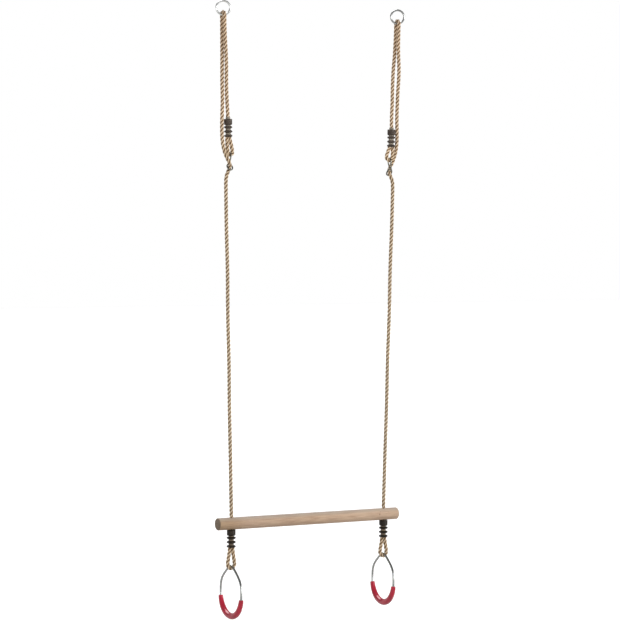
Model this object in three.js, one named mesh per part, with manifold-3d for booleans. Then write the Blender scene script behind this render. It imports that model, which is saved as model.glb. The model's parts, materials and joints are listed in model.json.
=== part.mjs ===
// Trapeze bar: a beech bar hung on two laid ropes, with a gym ring below each rope.
// Millimetres, +Z up, X along the bar, -Y towards the front.
// The origin is midway between the two points where the top rings rest on their hooks.

import * as THREE from 'three';
import { mergeVertices } from 'three/addons/utils/BufferGeometryUtils.js';
import Module from 'manifold-3d';

// Clearance between touching pieces, and how far a cut runs past what it cuts
const gap = 0.3;
const overrun = 2;

// Rope
const ropeDiameter = 10;
const ropeSides = 8;
const ropeFlexDiameter = 9;
const stepsPerPoint = 2;

// Top rings, each turned a little towards the viewer on its hook
const topRingBore = 34;
const topRingWire = 5.5;
const topRingSpan = 580;
const topRingTurn = THREE.MathUtils.degToRad(-20);

// Bight of the rope over a top ring, and how far below the wire its legs start to flex
const bightBend = 8.45;
const flexDrop = 15;

// Bar
const barDiameter = 35;
const barLength = 600;
const barDrop = 1472;
const barEdge = 4;
const holeInset = 45;
const holeDiameter = 11.6;
const ropeStub = 0.7;

// Sleeve that clamps a rope's eye: a plain head, then three thick ribs on a neck. The lower sleeves are stouter.
const upperHeadDiameter = 23.6;
const lowerHeadDiameter = 25;
const headLength = 17;
const headBevel = 2.4;
const neckDiameter = 15;
const upperRibDiameter = 24;
const lowerRibDiameter = 26.6;
const ribPitch = 12.2;
const ribCount = 3;
const firstRibGap = 2.7;
const ribDepth = 7.4;
const ribShoulderInset = 2.2;
const ribShoulderDepth = 4.6;
const ribRimDepth = 1.8;
const sleeveCore = 12.2;
const collarDiameter = 13;
const collarLength = 6;

// Upper sleeves hang inboard of the main leg, at a drop of their own on each side
const legOffset = 10;
const leftSleeveDrop = 295;
const rightSleeveDrop = 313;

// Adjuster: one galvanised wire bent into two eyes a quarter turn apart, at a drop of its own on each side
const adjusterWire = 4;
const leftAdjusterDrop = 420;
const rightAdjusterDrop = 428;
const adjusterInboard = 12.2;
const adjusterBack = -3;
const adjusterLean = THREE.MathUtils.degToRad(-8);
const lowerEyeTilt = THREE.MathUtils.degToRad(35);
const waistHalf = 1.62;
const upperEyeHalf = 8.4;
const upperEyeLength = 31;
const lowerEyeHalf = 8.4;
const lowerEyeLength = 24.5;

// Adjuster's wire on one side of its waist: shares of an eye's half width and length
const upperWireShares = [[0.84, 0.86], [1, 0.62], [0.74, 0.28]];
const lowerWireShares = [[0.62, 0.2], [0.95, 0.44], [1, 0.66], [0.7, 0.88]];

// Eyes of the rope: half the spread of their legs where they leave the sleeve, and how the legs swell
const eyeMouthHalf = 5.2;
const eyeStart = 1.2;
const upperEyeBend = 8.1;
const upperEyeBelly = 8.2;
const lowerEyeBend = 8.5;
const lowerEyeBelly = 10.3;
const lowerFlexDrop = 3.2;
const lowerFlexDiameter = 12.2;
const lowerEyeStart = 4.7;

// Swell of an eye's legs: shares of the whole swell and of the straight height
const eyeSwellShares = [[0, 0], [0.3, 0.3], [0.8, 0.62], [1, 0.88]];

// Gym rings: pointed wire rings with a moulded grip round the bottom, the left one turned a little on its rope
const gymWire = 6.4;
const gymWidth = 120;
const leftGymDrop = 121;
const rightGymDrop = 116.5;
const gymHeight = 146;
const leftGymTurn = THREE.MathUtils.degToRad(1.6);
const gripHalfAngle = THREE.MathUtils.degToRad(84);
const gripEndDiameter = 13.6;
const gripMiddleDiameter = 18.4;
const gripEdge = 1.2;

// Half outline of a gym ring above its round bottom: shares of the half width and of the straight height
const gymShoulderShares = [
  [0.133, 0.03], [0.33, 0.125], [0.53, 0.235], [0.715, 0.35], [0.865, 0.47], [0.96, 0.61], [1, 0.78],
];

// Route of the main leg down to its adjuster: outward from the rope's line, towards the back, and down from
// the swing axis
const mainRoute = [
  [0.2, -8.4, 35], [0.9, -7.8, 70], [2.2, -6.5, 115], [4.4, -4.4, 170], [7, -2.2, 225], [9.2, -0.7, 275],
  [10, 0, 312],
];

// Route past the adjuster and through its lower eye, its drops measured from the adjuster's waist
const crossingRoute = [
  [10, 0, -83], [9.9, 0.9, -69], [9.7, 2.6, -58], [9.2, 4.8, -48], [8.2, 7, -39], [6.6, 8.9, -30.5],
  [4.2, 10.1, -22.5], [1, 10.5, -15], [-3, 10, -8], [-7.1, 8.5, -1.5], [-9.8, 6.6, 4.5], [-10.7, 4.9, 10],
  [-10, 3.5, 15.5], [-8.1, 2.3, 21.5], [-5.4, 1.3, 27.5], [-3, 0.7, 34], [-1.1, 0.2, 42], [-0.2, 0, 53],
];

// Route from there to the straight run to the bar, its drops from the swing axis again
const lowRoute = [
  [0.2, 0, 500], [0.6, 0, 600], [-0.6, 0, 730], [0.7, 0, 860], [-0.5, 0, 990], [0.6, 0, 1120], [0, 0, 1250],
  [0, 0, 1350],
];

// Route of the tail leg down to its sleeve, in the same measures
const tailRoute = [
  [-0.2, 8.3, 35], [-1, 7.6, 70], [-2.4, 6.2, 115], [-4.6, 4.2, 165], [-7.2, 2, 212], [-9.2, 0.5, 247],
  [-9.9, 0, 267], [-10, 0, 280],
];

// Sizes that follow from those above
const ropeRadius = ropeDiameter / 2;
const holeSpan = barLength - 2 * holeInset;
const topRingRadius = (topRingBore + topRingWire) / 2;
const swingHeight = -(topRingBore + topRingWire / 2);
const barHeight = -(topRingBore / 2 + barDrop);
const barRadius = barDiameter / 2;
const flexHeight = barHeight + barRadius + ropeStub + ropeFlexDiameter / 2;
const ropeRun = Math.hypot((topRingSpan - holeSpan) / 2, swingHeight - flexHeight);
const ropeSplay = Math.atan2((topRingSpan - holeSpan) / 2, swingHeight - flexHeight);
const sleeveBore = sleeveCore + 2 * gap;
const sleeveLength = headLength + firstRibGap + (ribCount - 1) * ribPitch + ribDepth;
const upperSeatBend = adjusterWire / 2 + ropeRadius + gap;
const lowerSeatBend = gymWire / 2 + ropeRadius + gap;
const sleeveTop = barHeight - barRadius - gap;
const sleeveMouth = sleeveTop - sleeveLength;
const gymBend = gymWidth / 2;
const gymShoulder = gymHeight - gymBend;

// Materials
const steel = new THREE.MeshStandardMaterial({ color: 0xb9bbbb, roughness: 0.28, metalness: 1 });
const zinc = new THREE.MeshStandardMaterial({ color: 0x9a9c98, roughness: 0.5, metalness: 1 });
const rope = new THREE.MeshStandardMaterial({ color: 0xc8a57f, roughness: 0.9, metalness: 0 });
const beech = new THREE.MeshStandardMaterial({ color: 0xc9ab88, roughness: 0.55, metalness: 0 });
const plastic = new THREE.MeshStandardMaterial({ color: 0x2e2823, roughness: 0.5, metalness: 0 });
const red = new THREE.MeshStandardMaterial({ color: 0xa8283a, roughness: 0.3, metalness: 0 });

const wasm = await Module();
wasm.setup();

// A closed mesh as a solid that can be joined and cut
function solid(geometry) {
  const bare = geometry.clone();
  bare.deleteAttribute('normal');
  bare.deleteAttribute('uv');
  const merged = mergeVertices(bare, gap / 1000);
  return new wasm.Manifold(new wasm.Mesh({
    numProp: 3,
    vertProperties: new Float32Array(merged.attributes.position.array),
    triVerts: new Uint32Array(merged.index.array),
  }));
}

// A solid back as a geometry
function geometryOf(shape) {
  const mesh = shape.getMesh();
  const geometry = new THREE.BufferGeometry();
  geometry.setAttribute('position', new THREE.BufferAttribute(mesh.vertProperties, 3));
  geometry.setIndex(new THREE.BufferAttribute(mesh.triVerts, 1));
  geometry.computeVertexNormals();
  return geometry;
}

function fuse(...geometries) {
  return geometryOf(geometries.map(solid).reduce((whole, next) => whole.add(next)));
}

function cut(geometry, ...cutters) {
  return geometryOf(cutters.map(solid).reduce((whole, next) => whole.subtract(next), solid(geometry)));
}

// A named piece
function piece(name, geometry, material) {
  const mesh = new THREE.Mesh(geometry, material);
  mesh.name = name;
  return mesh;
}

// A profile of [radius, height] points turned about the Z axis
function turned(profile, segments) {
  const points = profile.map(([radius, height]) => new THREE.Vector2(radius, height));
  return new THREE.LatheGeometry(points, segments).rotateX(Math.PI / 2);
}

// A cord's route, stepped evenly between its listed points
class Route extends THREE.CatmullRomCurve3 {
  getPointAt(share, target) {
    return this.getPoint(share, target);
  }

  getTangentAt(share, target) {
    return this.getTangent(share, target);
  }
}

// The rope's section swept along a route
function ropeAlong(points, steps) {
  const section = new THREE.Shape();
  for (let i = 0; i < ropeSides; i += 1) {
    const angle = (2 * Math.PI * i) / ropeSides;
    const x = ropeRadius * Math.cos(angle);
    const y = ropeRadius * Math.sin(angle);
    if (i === 0) section.moveTo(x, y);
    else section.lineTo(x, y);
  }
  return new THREE.ExtrudeGeometry(section, { steps, bevelEnabled: false, extrudePath: new Route(points) });
}

// A wire or rope bent into a closed loop
function loopAlong(points, radius, steps, sides) {
  const curve = new THREE.CatmullRomCurve3(points, true);
  return new THREE.TubeGeometry(curve, steps, radius, sides, true);
}

// The round end on which a rope flexes
function ballAt(x, y, z, diameter) {
  return new THREE.SphereGeometry(diameter / 2, ropeSides, ropeSides).rotateX(Math.PI / 2).translate(x, y, z);
}

// The round end at the top of a route, set a little into the rope
function topBall([{ x, y, z }]) {
  return ballAt(x, y, z - gap, ropeFlexDiameter);
}

function downFrom([outward, back, drop]) {
  return new THREE.Vector3(outward, back, -drop);
}

// Top ring, standing on its bottom wire at the group's origin
function topRing(name) {
  const ring = piece(name, new THREE.TorusGeometry(topRingRadius, topRingWire / 2, 8, 36), steel);
  ring.rotation.set(Math.PI / 2, 0, 0);
  ring.position.z = topRingRadius;
  return ring;
}

// Bight: the rope laid over the ring's wire, its legs one behind the other
function bight(name) {
  const legEnd = flexDrop - ropeFlexDiameter / 2;
  const points = [new THREE.Vector3(0, -bightBend, -legEnd), new THREE.Vector3(0, -bightBend, -legEnd / 2)];
  const turns = 8;
  for (let i = 0; i <= turns; i += 1) {
    const angle = (Math.PI * i) / turns;
    points.push(new THREE.Vector3(0, -bightBend * Math.cos(angle), bightBend * Math.sin(angle)));
  }
  points.push(new THREE.Vector3(0, bightBend, -legEnd / 2), new THREE.Vector3(0, bightBend, -legEnd));
  return piece(name, ropeAlong(points, (points.length - 1) * stepsPerPoint), rope);
}

// Main leg, from the bight through the adjuster's lower eye and down to the bar
function mainLeg(name, adjusterDrop) {
  const crossing = crossingRoute.map(([outward, back, below]) => [outward, back, adjusterDrop + below]);
  const points = [
    [0, -bightBend, flexDrop], ...mainRoute, ...crossing, ...lowRoute.filter((point) => point[2] < ropeRun),
    [0, 0, ropeRun],
  ].map(downFrom);
  return piece(name, fuse(
    ropeAlong(points, (points.length - 1) * stepsPerPoint),
    topBall(points),
    ballAt(0, 0, gap - ropeRun, ropeFlexDiameter),
  ), rope);
}

// Loop of rope below a sleeve, down one leg, round the bend and up the other.
// Heights are down from the mouth; drift and back are how far sideways and backwards the bend's centre lies.
function eyeLoop(start, length, bend, belly, drift, back) {
  const straight = length - bend;
  const half = eyeSwellShares.map(([wideShare, downShare]) => [
    eyeMouthHalf + (belly - eyeMouthHalf) * wideShare, start + (straight - start) * downShare,
  ]);
  const turns = 6;
  const round = [];
  for (let i = 1; i < turns; i += 1) {
    const angle = (Math.PI * i) / turns;
    round.push([bend * Math.cos(angle), straight + bend * Math.sin(angle)]);
  }
  const points = [...half, ...round, ...half.map(([across, down]) => [-across, down]).reverse()]
    .map(([across, down]) => {
      const share = THREE.MathUtils.smoothstep(down, 0, straight);
      return new THREE.Vector3(across + drift * share, back * share, -down);
    });
  return ropeAlong(points, (points.length - 1) * stepsPerPoint);
}

// Tail leg: from the bight down into its sleeve, and out below as the eye that holds the adjuster
function tailLeg(name, sleeveDrop, adjusterDrop) {
  const points = [
    [0, bightBend, flexDrop], ...tailRoute.filter((point) => point[2] < sleeveDrop - collarLength),
    [-legOffset, 0, sleeveDrop],
  ].map(downFrom);
  const mouth = sleeveDrop + sleeveLength;
  const coreEnd = mouth + ropeRadius;
  const core = turned([
    [0, -coreEnd], [sleeveCore / 2, -coreEnd], [sleeveCore / 2, -sleeveDrop],
    [ropeRadius / 2, collarLength / 2 - sleeveDrop], [0, collarLength / 2 - sleeveDrop],
  ], 16).translate(-legOffset, 0, 0);
  const wireUp = upperEyeLength * Math.cos(adjusterLean);
  const wireIn = adjusterInboard - upperEyeLength * Math.sin(adjusterLean);
  const length = adjusterDrop - wireUp + upperSeatBend - mouth;
  const loop = eyeLoop(eyeStart, length, upperEyeBend, upperEyeBelly, legOffset - wireIn, adjusterBack);
  return piece(name, fuse(
    ropeAlong(points, (points.length - 1) * stepsPerPoint),
    topBall(points),
    core,
    loop.translate(-legOffset, 0, -mouth),
  ), rope);
}

// Sleeve: a bored moulding with its head at the top, standing down from the group's origin
function sleeve(name, headDiameter, ribDiameter, hasCollar) {
  const bore = sleeveBore / 2;
  const head = headDiameter / 2;
  const neck = neckDiameter / 2;
  const rib = ribDiameter / 2;
  const outline = [[bore, -sleeveLength]];
  for (let i = ribCount; i > 0; i -= 1) {
    const middle = (1 - i) * ribPitch - ribDepth / 2 - firstRibGap - headLength;
    outline.push(
      [neck, middle - ribDepth / 2], [rib - ribShoulderInset, middle - ribShoulderDepth / 2],
      [rib, middle - ribRimDepth / 2], [rib, middle + ribRimDepth / 2],
      [rib - ribShoulderInset, middle + ribShoulderDepth / 2], [neck, middle + ribDepth / 2],
    );
  }
  outline.push([neck, -headLength], [head - headBevel, -headLength], [head, headBevel - headLength], [head, 0]);
  const collar = collarDiameter / 2;
  const entry = ropeRadius + 2 * gap;
  if (hasCollar) {
    outline.push([collar, 0], [collar, collarLength], [entry, collarLength], [entry, collarLength / 2 + gap]);
  }
  outline.push([bore, 0], [bore, -sleeveLength]);
  return piece(name, turned(outline, 16), plastic);
}

// Adjuster, its waist at its own origin: half of its wire as [sideways, front, down], then the other half
function adjuster(name, adjusterDrop) {
  const up = upperWireShares.map(([wide, far]) => [0, wide * upperEyeHalf, -far * upperEyeLength]);
  const down = lowerWireShares.map(([wide, far]) => [
    wide * lowerEyeHalf, -far * lowerEyeLength * Math.sin(lowerEyeTilt),
    far * lowerEyeLength * Math.cos(lowerEyeTilt),
  ]);
  const other = ([a, b, c], first) => (first ? [a, -b, c] : [-a, b, c]);
  const points = [
    [0, 0, -upperEyeLength], ...up, [waistHalf, waistHalf, 0], ...down,
    [0, -lowerEyeLength * Math.sin(lowerEyeTilt), lowerEyeLength * Math.cos(lowerEyeTilt)],
    ...down.map((point) => other(point, false)).reverse(), [-waistHalf, -waistHalf, 0],
    ...up.map((point) => other(point, true)).reverse(),
  ].map(([a, b, c]) => new THREE.Vector3(a, -b, -c));
  const wire = piece(name, loopAlong(points, adjusterWire / 2, points.length * 3, 6), zinc);
  wire.rotation.y = adjusterLean;
  wire.position.set(-adjusterInboard, adjusterBack, -adjusterDrop);
  return wire;
}

// One side's hanging gear, its origin on the swing axis, hanging straight down
function hangingSide(side, sleeveDrop, adjusterDrop) {
  const group = new THREE.Group();
  const clamp = sleeve(`upper_sleeve_${side}`, upperHeadDiameter, upperRibDiameter, true);
  clamp.position.set(-legOffset, 0, -sleeveDrop);
  group.add(
    bight(`rope_bight_${side}`), mainLeg(`rope_main_${side}`, adjusterDrop),
    tailLeg(`rope_tail_${side}`, sleeveDrop, adjusterDrop), clamp, adjuster(`adjuster_${side}`, adjusterDrop),
  );
  group.rotation.y = ropeSplay;
  return group;
}

// Bar: a round dowel with eased ends and two drilled holes
function bar() {
  const outline = [[0, -barLength / 2]];
  const turns = 4;
  for (let i = 0; i <= turns; i += 1) {
    const angle = (Math.PI / 2) * (i / turns);
    outline.push([
      barRadius - barEdge + barEdge * Math.sin(angle), barEdge - barEdge * Math.cos(angle) - barLength / 2,
    ]);
  }
  const upper = outline.map(([radius, along]) => [radius, -along]).reverse();
  const dowel = turned([...outline, ...upper], 40).rotateY(Math.PI / 2);
  const drill = (x) => new THREE.CylinderGeometry(
    holeDiameter / 2, holeDiameter / 2, barDiameter + 2 * overrun, 20,
  ).rotateX(Math.PI / 2).translate(x, 0, 0);
  const mesh = piece('bar', cut(dowel, drill(-holeSpan / 2), drill(holeSpan / 2)), beech);
  mesh.position.z = barHeight;
  return mesh;
}

// Rope through the bar and its lower sleeve
function lowerRope(name) {
  const top = barHeight + barRadius + ropeStub;
  const bottom = sleeveMouth - lowerFlexDrop + lowerFlexDiameter / 2 + gap;
  return piece(name, turned([
    [0, bottom], [sleeveCore / 2, bottom], [sleeveCore / 2, sleeveTop - headBevel], [ropeRadius, sleeveTop],
    [ropeRadius, top], [0, top],
  ], 16), rope);
}

// Eye below the bar: a round end that flexes at the sleeve's mouth, and the loop that holds the gym ring
function lowerEye(name, gymApex) {
  const flex = sleeveMouth - lowerFlexDrop;
  const length = sleeveMouth - gymApex + lowerSeatBend;
  return piece(name, fuse(
    eyeLoop(lowerEyeStart, length, lowerEyeBend, lowerEyeBelly, 0, 0).translate(0, 0, sleeveMouth),
    ballAt(0, 0, flex, lowerFlexDiameter),
  ), rope);
}

// Gym ring: a wire bent to a pointed top and a round bottom, welded into one loop
function gymRing(name) {
  const shoulder = gymShoulderShares.map(([wide, down]) => [wide * gymBend, -down * gymShoulder]);
  const round = [];
  const turns = 14;
  for (let i = 0; i <= turns; i += 1) {
    const angle = (Math.PI * i) / turns;
    round.push([gymBend * Math.cos(angle), -gymShoulder - gymBend * Math.sin(angle)]);
  }
  const points = [
    [0, 0], ...shoulder, ...round, ...shoulder.map(([y, z]) => [-y, z]).reverse(),
  ].map(([y, z]) => new THREE.Vector3(0, y, z));
  return piece(name, loopAlong(points, gymWire / 2, points.length * 2, 8), steel);
}

// Grip: a bored moulding, thicker at the middle, bent round the bottom of the ring
function grip(name) {
  const half = gripHalfAngle * gymBend;
  const bore = gymWire / 2 + gap;
  const outer = [];
  const stations = 22;
  const thickness = (share) => gripEndDiameter / 2
    + ((gripMiddleDiameter - gripEndDiameter) / 2) * Math.cos((Math.PI / 2) * share);
  for (let i = 0; i <= stations; i += 1) {
    const share = (2 * i) / stations - 1;
    outer.push([thickness(share), share * (half - gripEdge)]);
  }
  const inner = outer.map(([, along]) => [bore, along]).reverse();
  const profile = [
    [bore, -half], [gripEndDiameter / 2 - gripEdge, -half], ...outer, [gripEndDiameter / 2 - gripEdge, half],
    [bore, half], ...inner, [bore, -half],
  ];
  const points = profile.map(([radius, along]) => new THREE.Vector2(radius, along));
  const geometry = new THREE.LatheGeometry(points, 12);
  const place = geometry.attributes.position;
  for (let i = 0; i < place.count; i += 1) {
    const reach = gymBend + place.getX(i);
    const angle = place.getY(i) / gymBend;
    place.setXYZ(i, place.getZ(i), reach * Math.sin(angle), -reach * Math.cos(angle));
  }
  const mesh = piece(name, geometry, red);
  mesh.position.z = -gymShoulder;
  return mesh;
}

// What hangs below one end of the bar, and the rope through it
function lowerSide(side, gymDrop, gymTurn) {
  const group = new THREE.Group();
  const gymApex = barHeight - gymDrop;
  const clamp = sleeve(`lower_sleeve_${side}`, lowerHeadDiameter, lowerRibDiameter, false);
  clamp.position.z = sleeveTop;
  const hanging = new THREE.Group();
  hanging.add(gymRing(`gym_ring_${side}`), grip(`grip_${side}`));
  hanging.position.z = gymApex;
  hanging.rotation.z = gymTurn;
  group.add(lowerRope(`rope_lower_${side}`), clamp, lowerEye(`rope_eye_${side}`, gymApex), hanging);
  return group;
}

const trapeze = new THREE.Group();
const sides = [
  ['left', -1, leftSleeveDrop, leftAdjusterDrop, leftGymDrop, leftGymTurn],
  ['right', 1, rightSleeveDrop, rightAdjusterDrop, rightGymDrop, 0],
];
for (const [side, sign, sleeveDrop, adjusterDrop, gymDrop, gymTurn] of sides) {
  // The left side is the right side turned half round
  const turn = new THREE.Group();
  turn.rotation.z = sign < 0 ? Math.PI : 0;
  turn.position.set((sign * topRingSpan) / 2, 0, swingHeight);
  turn.add(hangingSide(side, sleeveDrop, adjusterDrop));
  const ringPlace = new THREE.Group();
  ringPlace.rotation.z = topRingTurn;
  ringPlace.position.copy(turn.position);
  ringPlace.add(topRing(`top_ring_${side}`));
  const below = lowerSide(side, gymDrop, gymTurn);
  below.position.x = (sign * holeSpan) / 2;
  trapeze.add(ringPlace, turn, below);
}
trapeze.add(bar());

export default trapeze;
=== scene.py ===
"""A trapeze bar on laid ropes with a gym ring below each rope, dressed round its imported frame."""

from __future__ import annotations

import json
import logging
import math
from dataclasses import dataclass, field
from enum import Enum
from typing import Any, Callable, Sequence

import bmesh
import bpy
from bpy.types import Material, Mesh, Node, NodeSocket, NodeTree, Object
from mathutils import Matrix, Vector
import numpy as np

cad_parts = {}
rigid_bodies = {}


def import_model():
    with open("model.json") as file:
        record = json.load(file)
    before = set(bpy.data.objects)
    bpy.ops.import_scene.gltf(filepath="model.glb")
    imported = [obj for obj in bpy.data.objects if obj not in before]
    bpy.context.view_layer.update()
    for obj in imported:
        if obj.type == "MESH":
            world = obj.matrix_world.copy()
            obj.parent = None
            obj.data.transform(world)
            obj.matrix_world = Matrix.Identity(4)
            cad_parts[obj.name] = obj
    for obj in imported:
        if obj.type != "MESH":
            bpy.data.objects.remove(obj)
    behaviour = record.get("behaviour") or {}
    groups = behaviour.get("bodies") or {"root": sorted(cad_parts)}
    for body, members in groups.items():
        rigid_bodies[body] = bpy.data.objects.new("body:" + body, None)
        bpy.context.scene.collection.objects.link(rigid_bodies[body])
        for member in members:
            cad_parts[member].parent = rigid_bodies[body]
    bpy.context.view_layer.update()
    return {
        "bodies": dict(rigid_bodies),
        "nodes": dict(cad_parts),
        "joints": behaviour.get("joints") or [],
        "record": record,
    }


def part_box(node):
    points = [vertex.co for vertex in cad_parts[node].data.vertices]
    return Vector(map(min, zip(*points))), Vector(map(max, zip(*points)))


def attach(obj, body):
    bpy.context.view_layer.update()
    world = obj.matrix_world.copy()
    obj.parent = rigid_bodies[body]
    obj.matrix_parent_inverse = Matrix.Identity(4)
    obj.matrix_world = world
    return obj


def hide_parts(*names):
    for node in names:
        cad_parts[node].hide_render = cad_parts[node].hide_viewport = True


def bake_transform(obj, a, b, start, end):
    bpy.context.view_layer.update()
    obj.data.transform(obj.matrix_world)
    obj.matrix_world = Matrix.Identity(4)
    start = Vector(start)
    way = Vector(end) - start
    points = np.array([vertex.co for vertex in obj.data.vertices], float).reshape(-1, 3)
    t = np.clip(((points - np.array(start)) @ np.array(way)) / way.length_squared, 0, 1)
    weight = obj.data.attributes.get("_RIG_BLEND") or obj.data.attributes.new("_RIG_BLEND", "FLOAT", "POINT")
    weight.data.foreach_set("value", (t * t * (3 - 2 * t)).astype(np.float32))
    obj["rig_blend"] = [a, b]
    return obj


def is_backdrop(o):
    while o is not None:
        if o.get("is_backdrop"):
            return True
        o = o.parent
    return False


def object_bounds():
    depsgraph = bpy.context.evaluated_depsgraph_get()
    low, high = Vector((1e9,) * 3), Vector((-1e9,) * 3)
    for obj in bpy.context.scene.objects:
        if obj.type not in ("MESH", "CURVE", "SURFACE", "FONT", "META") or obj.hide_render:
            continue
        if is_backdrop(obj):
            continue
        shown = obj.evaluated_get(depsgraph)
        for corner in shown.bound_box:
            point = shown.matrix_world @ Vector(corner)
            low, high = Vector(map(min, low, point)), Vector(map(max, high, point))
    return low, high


# Two measures or shares a row, and places along a colour ramp with their sRGB hex colours
Pairs = tuple[tuple[float, float], ...]
Stops = tuple[tuple[float, str], ...]

LOG = logging.getLogger("trapeze")
MM = 0.001
TURN = 2 * math.pi
# Steps round each tight half turn of rope
BEND_STEPS = 6

# Routes of the main legs: outward from the rope's line, towards the back, and down from the swing axis
MAIN_ROUTES = {
    "left": [
        (0.0002, -0.0084, 0.035), (0.0009, -0.0078, 0.070), (0.0022, -0.0065, 0.115),
        (0.0043, -0.0044, 0.168), (0.0052, -0.0034, 0.196), (0.0055, -0.0024, 0.220),
        (0.0059, -0.0016, 0.243), (0.0072, -0.0009, 0.266), (0.0087, -0.0004, 0.289),
        (0.0099, 0.0, 0.316),
    ],
    "right": [
        (0.0002, -0.0084, 0.035), (0.0010, -0.0078, 0.070), (0.0030, -0.0070, 0.098),
        (0.0057, -0.0061, 0.124), (0.0070, -0.0053, 0.148), (0.0071, -0.0043, 0.172),
        (0.0064, -0.0034, 0.196), (0.0064, -0.0024, 0.220), (0.0067, -0.0016, 0.243),
        (0.0069, -0.0009, 0.266), (0.0078, -0.0004, 0.289), (0.0093, 0.0, 0.316),
    ],
}

# Route past the adjuster and through its lower eye, its drops measured from the adjuster's waist
CROSSING_ROUTE = [
    (0.0100, 0.0, -0.083), (0.0099, 0.0009, -0.069), (0.0097, 0.0026, -0.058),
    (0.0092, 0.0048, -0.048), (0.0082, 0.0070, -0.039), (0.0066, 0.0089, -0.0305),
    (0.0042, 0.0101, -0.0225), (0.0010, 0.0105, -0.015), (-0.0030, 0.0100, -0.008),
    (-0.0071, 0.0085, -0.0015), (-0.0098, 0.0066, 0.0045), (-0.0107, 0.0049, 0.010),
    (-0.0100, 0.0035, 0.0155), (-0.0081, 0.0023, 0.0215), (-0.0054, 0.0013, 0.0275),
    (-0.0030, 0.0007, 0.034), (-0.0011, 0.0002, 0.042), (-0.0002, 0.0, 0.053),
]

# Route from there down to the bar, its drops from the swing axis again
LOW_ROUTE = [
    (0.0002, 0.0, 0.500), (0.0006, 0.0, 0.600), (-0.0006, 0.0, 0.730), (0.0007, 0.0, 0.860),
    (-0.0005, 0.0, 0.990), (0.0006, 0.0, 1.120), (0.0, 0.0, 1.250), (0.0, 0.0, 1.350),
]

# Routes of the tail legs down to their sleeves, in the same measures
TAIL_ROUTES = {
    "left": [
        (-0.0002, 0.0083, 0.035), (-0.0014, 0.0076, 0.070), (-0.0033, 0.0067, 0.101),
        (-0.0045, 0.0058, 0.126), (-0.0050, 0.0050, 0.148), (-0.0051, 0.0038, 0.172),
        (-0.0054, 0.0028, 0.196), (-0.0061, 0.0017, 0.220), (-0.0074, 0.0007, 0.243),
        (-0.0089, 0.0, 0.267),
    ],
    "right": [
        (-0.0002, 0.0083, 0.035), (-0.0013, 0.0077, 0.070), (-0.0030, 0.0069, 0.101),
        (-0.0052, 0.0060, 0.124), (-0.0069, 0.0051, 0.148), (-0.0080, 0.0040, 0.172),
        (-0.0088, 0.0029, 0.196), (-0.0090, 0.0018, 0.220), (-0.0096, 0.0007, 0.243),
        (-0.0105, 0.0, 0.267), (-0.0105, 0.0, 0.288),
    ],
}


class Side(Enum):
    """The two ends of the bar."""

    LEFT = -1
    RIGHT = 1

    @property
    def word(self) -> str:
        """The side's name as the nodes and bodies spell it."""
        return self.name.lower()


class Edge(Enum):
    """How a mesh is shaded across its edges, by the angle past which an edge stays sharp."""

    SOFT = math.radians(180)
    MOULDED = math.radians(38)


def linear(code: str) -> tuple[float, float, float, float]:
    """Turn an sRGB hex colour into linear light.

    Args:
        code: six hex digits.

    Returns:
        Red, green, blue and an alpha of 1.
    """
    parts = [int(code[i:i + 2], 16) / 255 for i in (0, 2, 4)]
    red, green, blue = (c / 12.92 if c <= 0.04045 else ((c + 0.055) / 1.055) ** 2.4 for c in parts)
    return (red, green, blue, 1.0)


def feed(node: Node, inputs: dict[Any, Any]) -> Node:
    """Set a node's inputs, or link them to what feeds them.

    Args:
        node: the node.
        inputs: socket name or number to a value, an output, or a node whose first live output feeds it.

    Returns:
        The same node.
    """
    for key, value in inputs.items():
        if isinstance(value, Node):
            value = next(output for output in value.outputs if output.enabled)
        if isinstance(value, NodeSocket):
            node.id_data.links.new(value, node.inputs[key])
        else:
            node.inputs[key].default_value = value
    return node


def add(tree: NodeTree, kind: str, inputs: dict[Any, Any] | None = None,
        stops: Sequence[tuple[float, str]] = (), **settings: Any) -> Node:
    """Add a node with its settings, and set or link its inputs.

    Args:
        tree: the tree that gets the node.
        kind: the node's class name.
        inputs: what feed takes.
        stops: a colour ramp's places from 0 to 1, each with its sRGB hex colour.
        settings: properties of the node itself.

    Returns:
        The new node.
    """
    node = tree.nodes.new(kind)
    for name, value in settings.items():
        setattr(node, name, value)
    if stops:
        elements = node.color_ramp.elements
        while len(elements) < len(stops):
            elements.new(1.0)
        for element, (place, code) in zip(elements, stops):
            element.position = place
            element.color = linear(code)
    return feed(node, inputs or {})


def bare_material(name: str) -> tuple[Material, NodeTree, Node]:
    """Start a material.

    Args:
        name: the material's real name and process.

    Returns:
        The material, its tree and its Principled shader.
    """
    material = bpy.data.materials.new(name)
    material.use_nodes = True
    tree = material.node_tree
    return material, tree, tree.nodes["Principled BSDF"]


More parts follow.
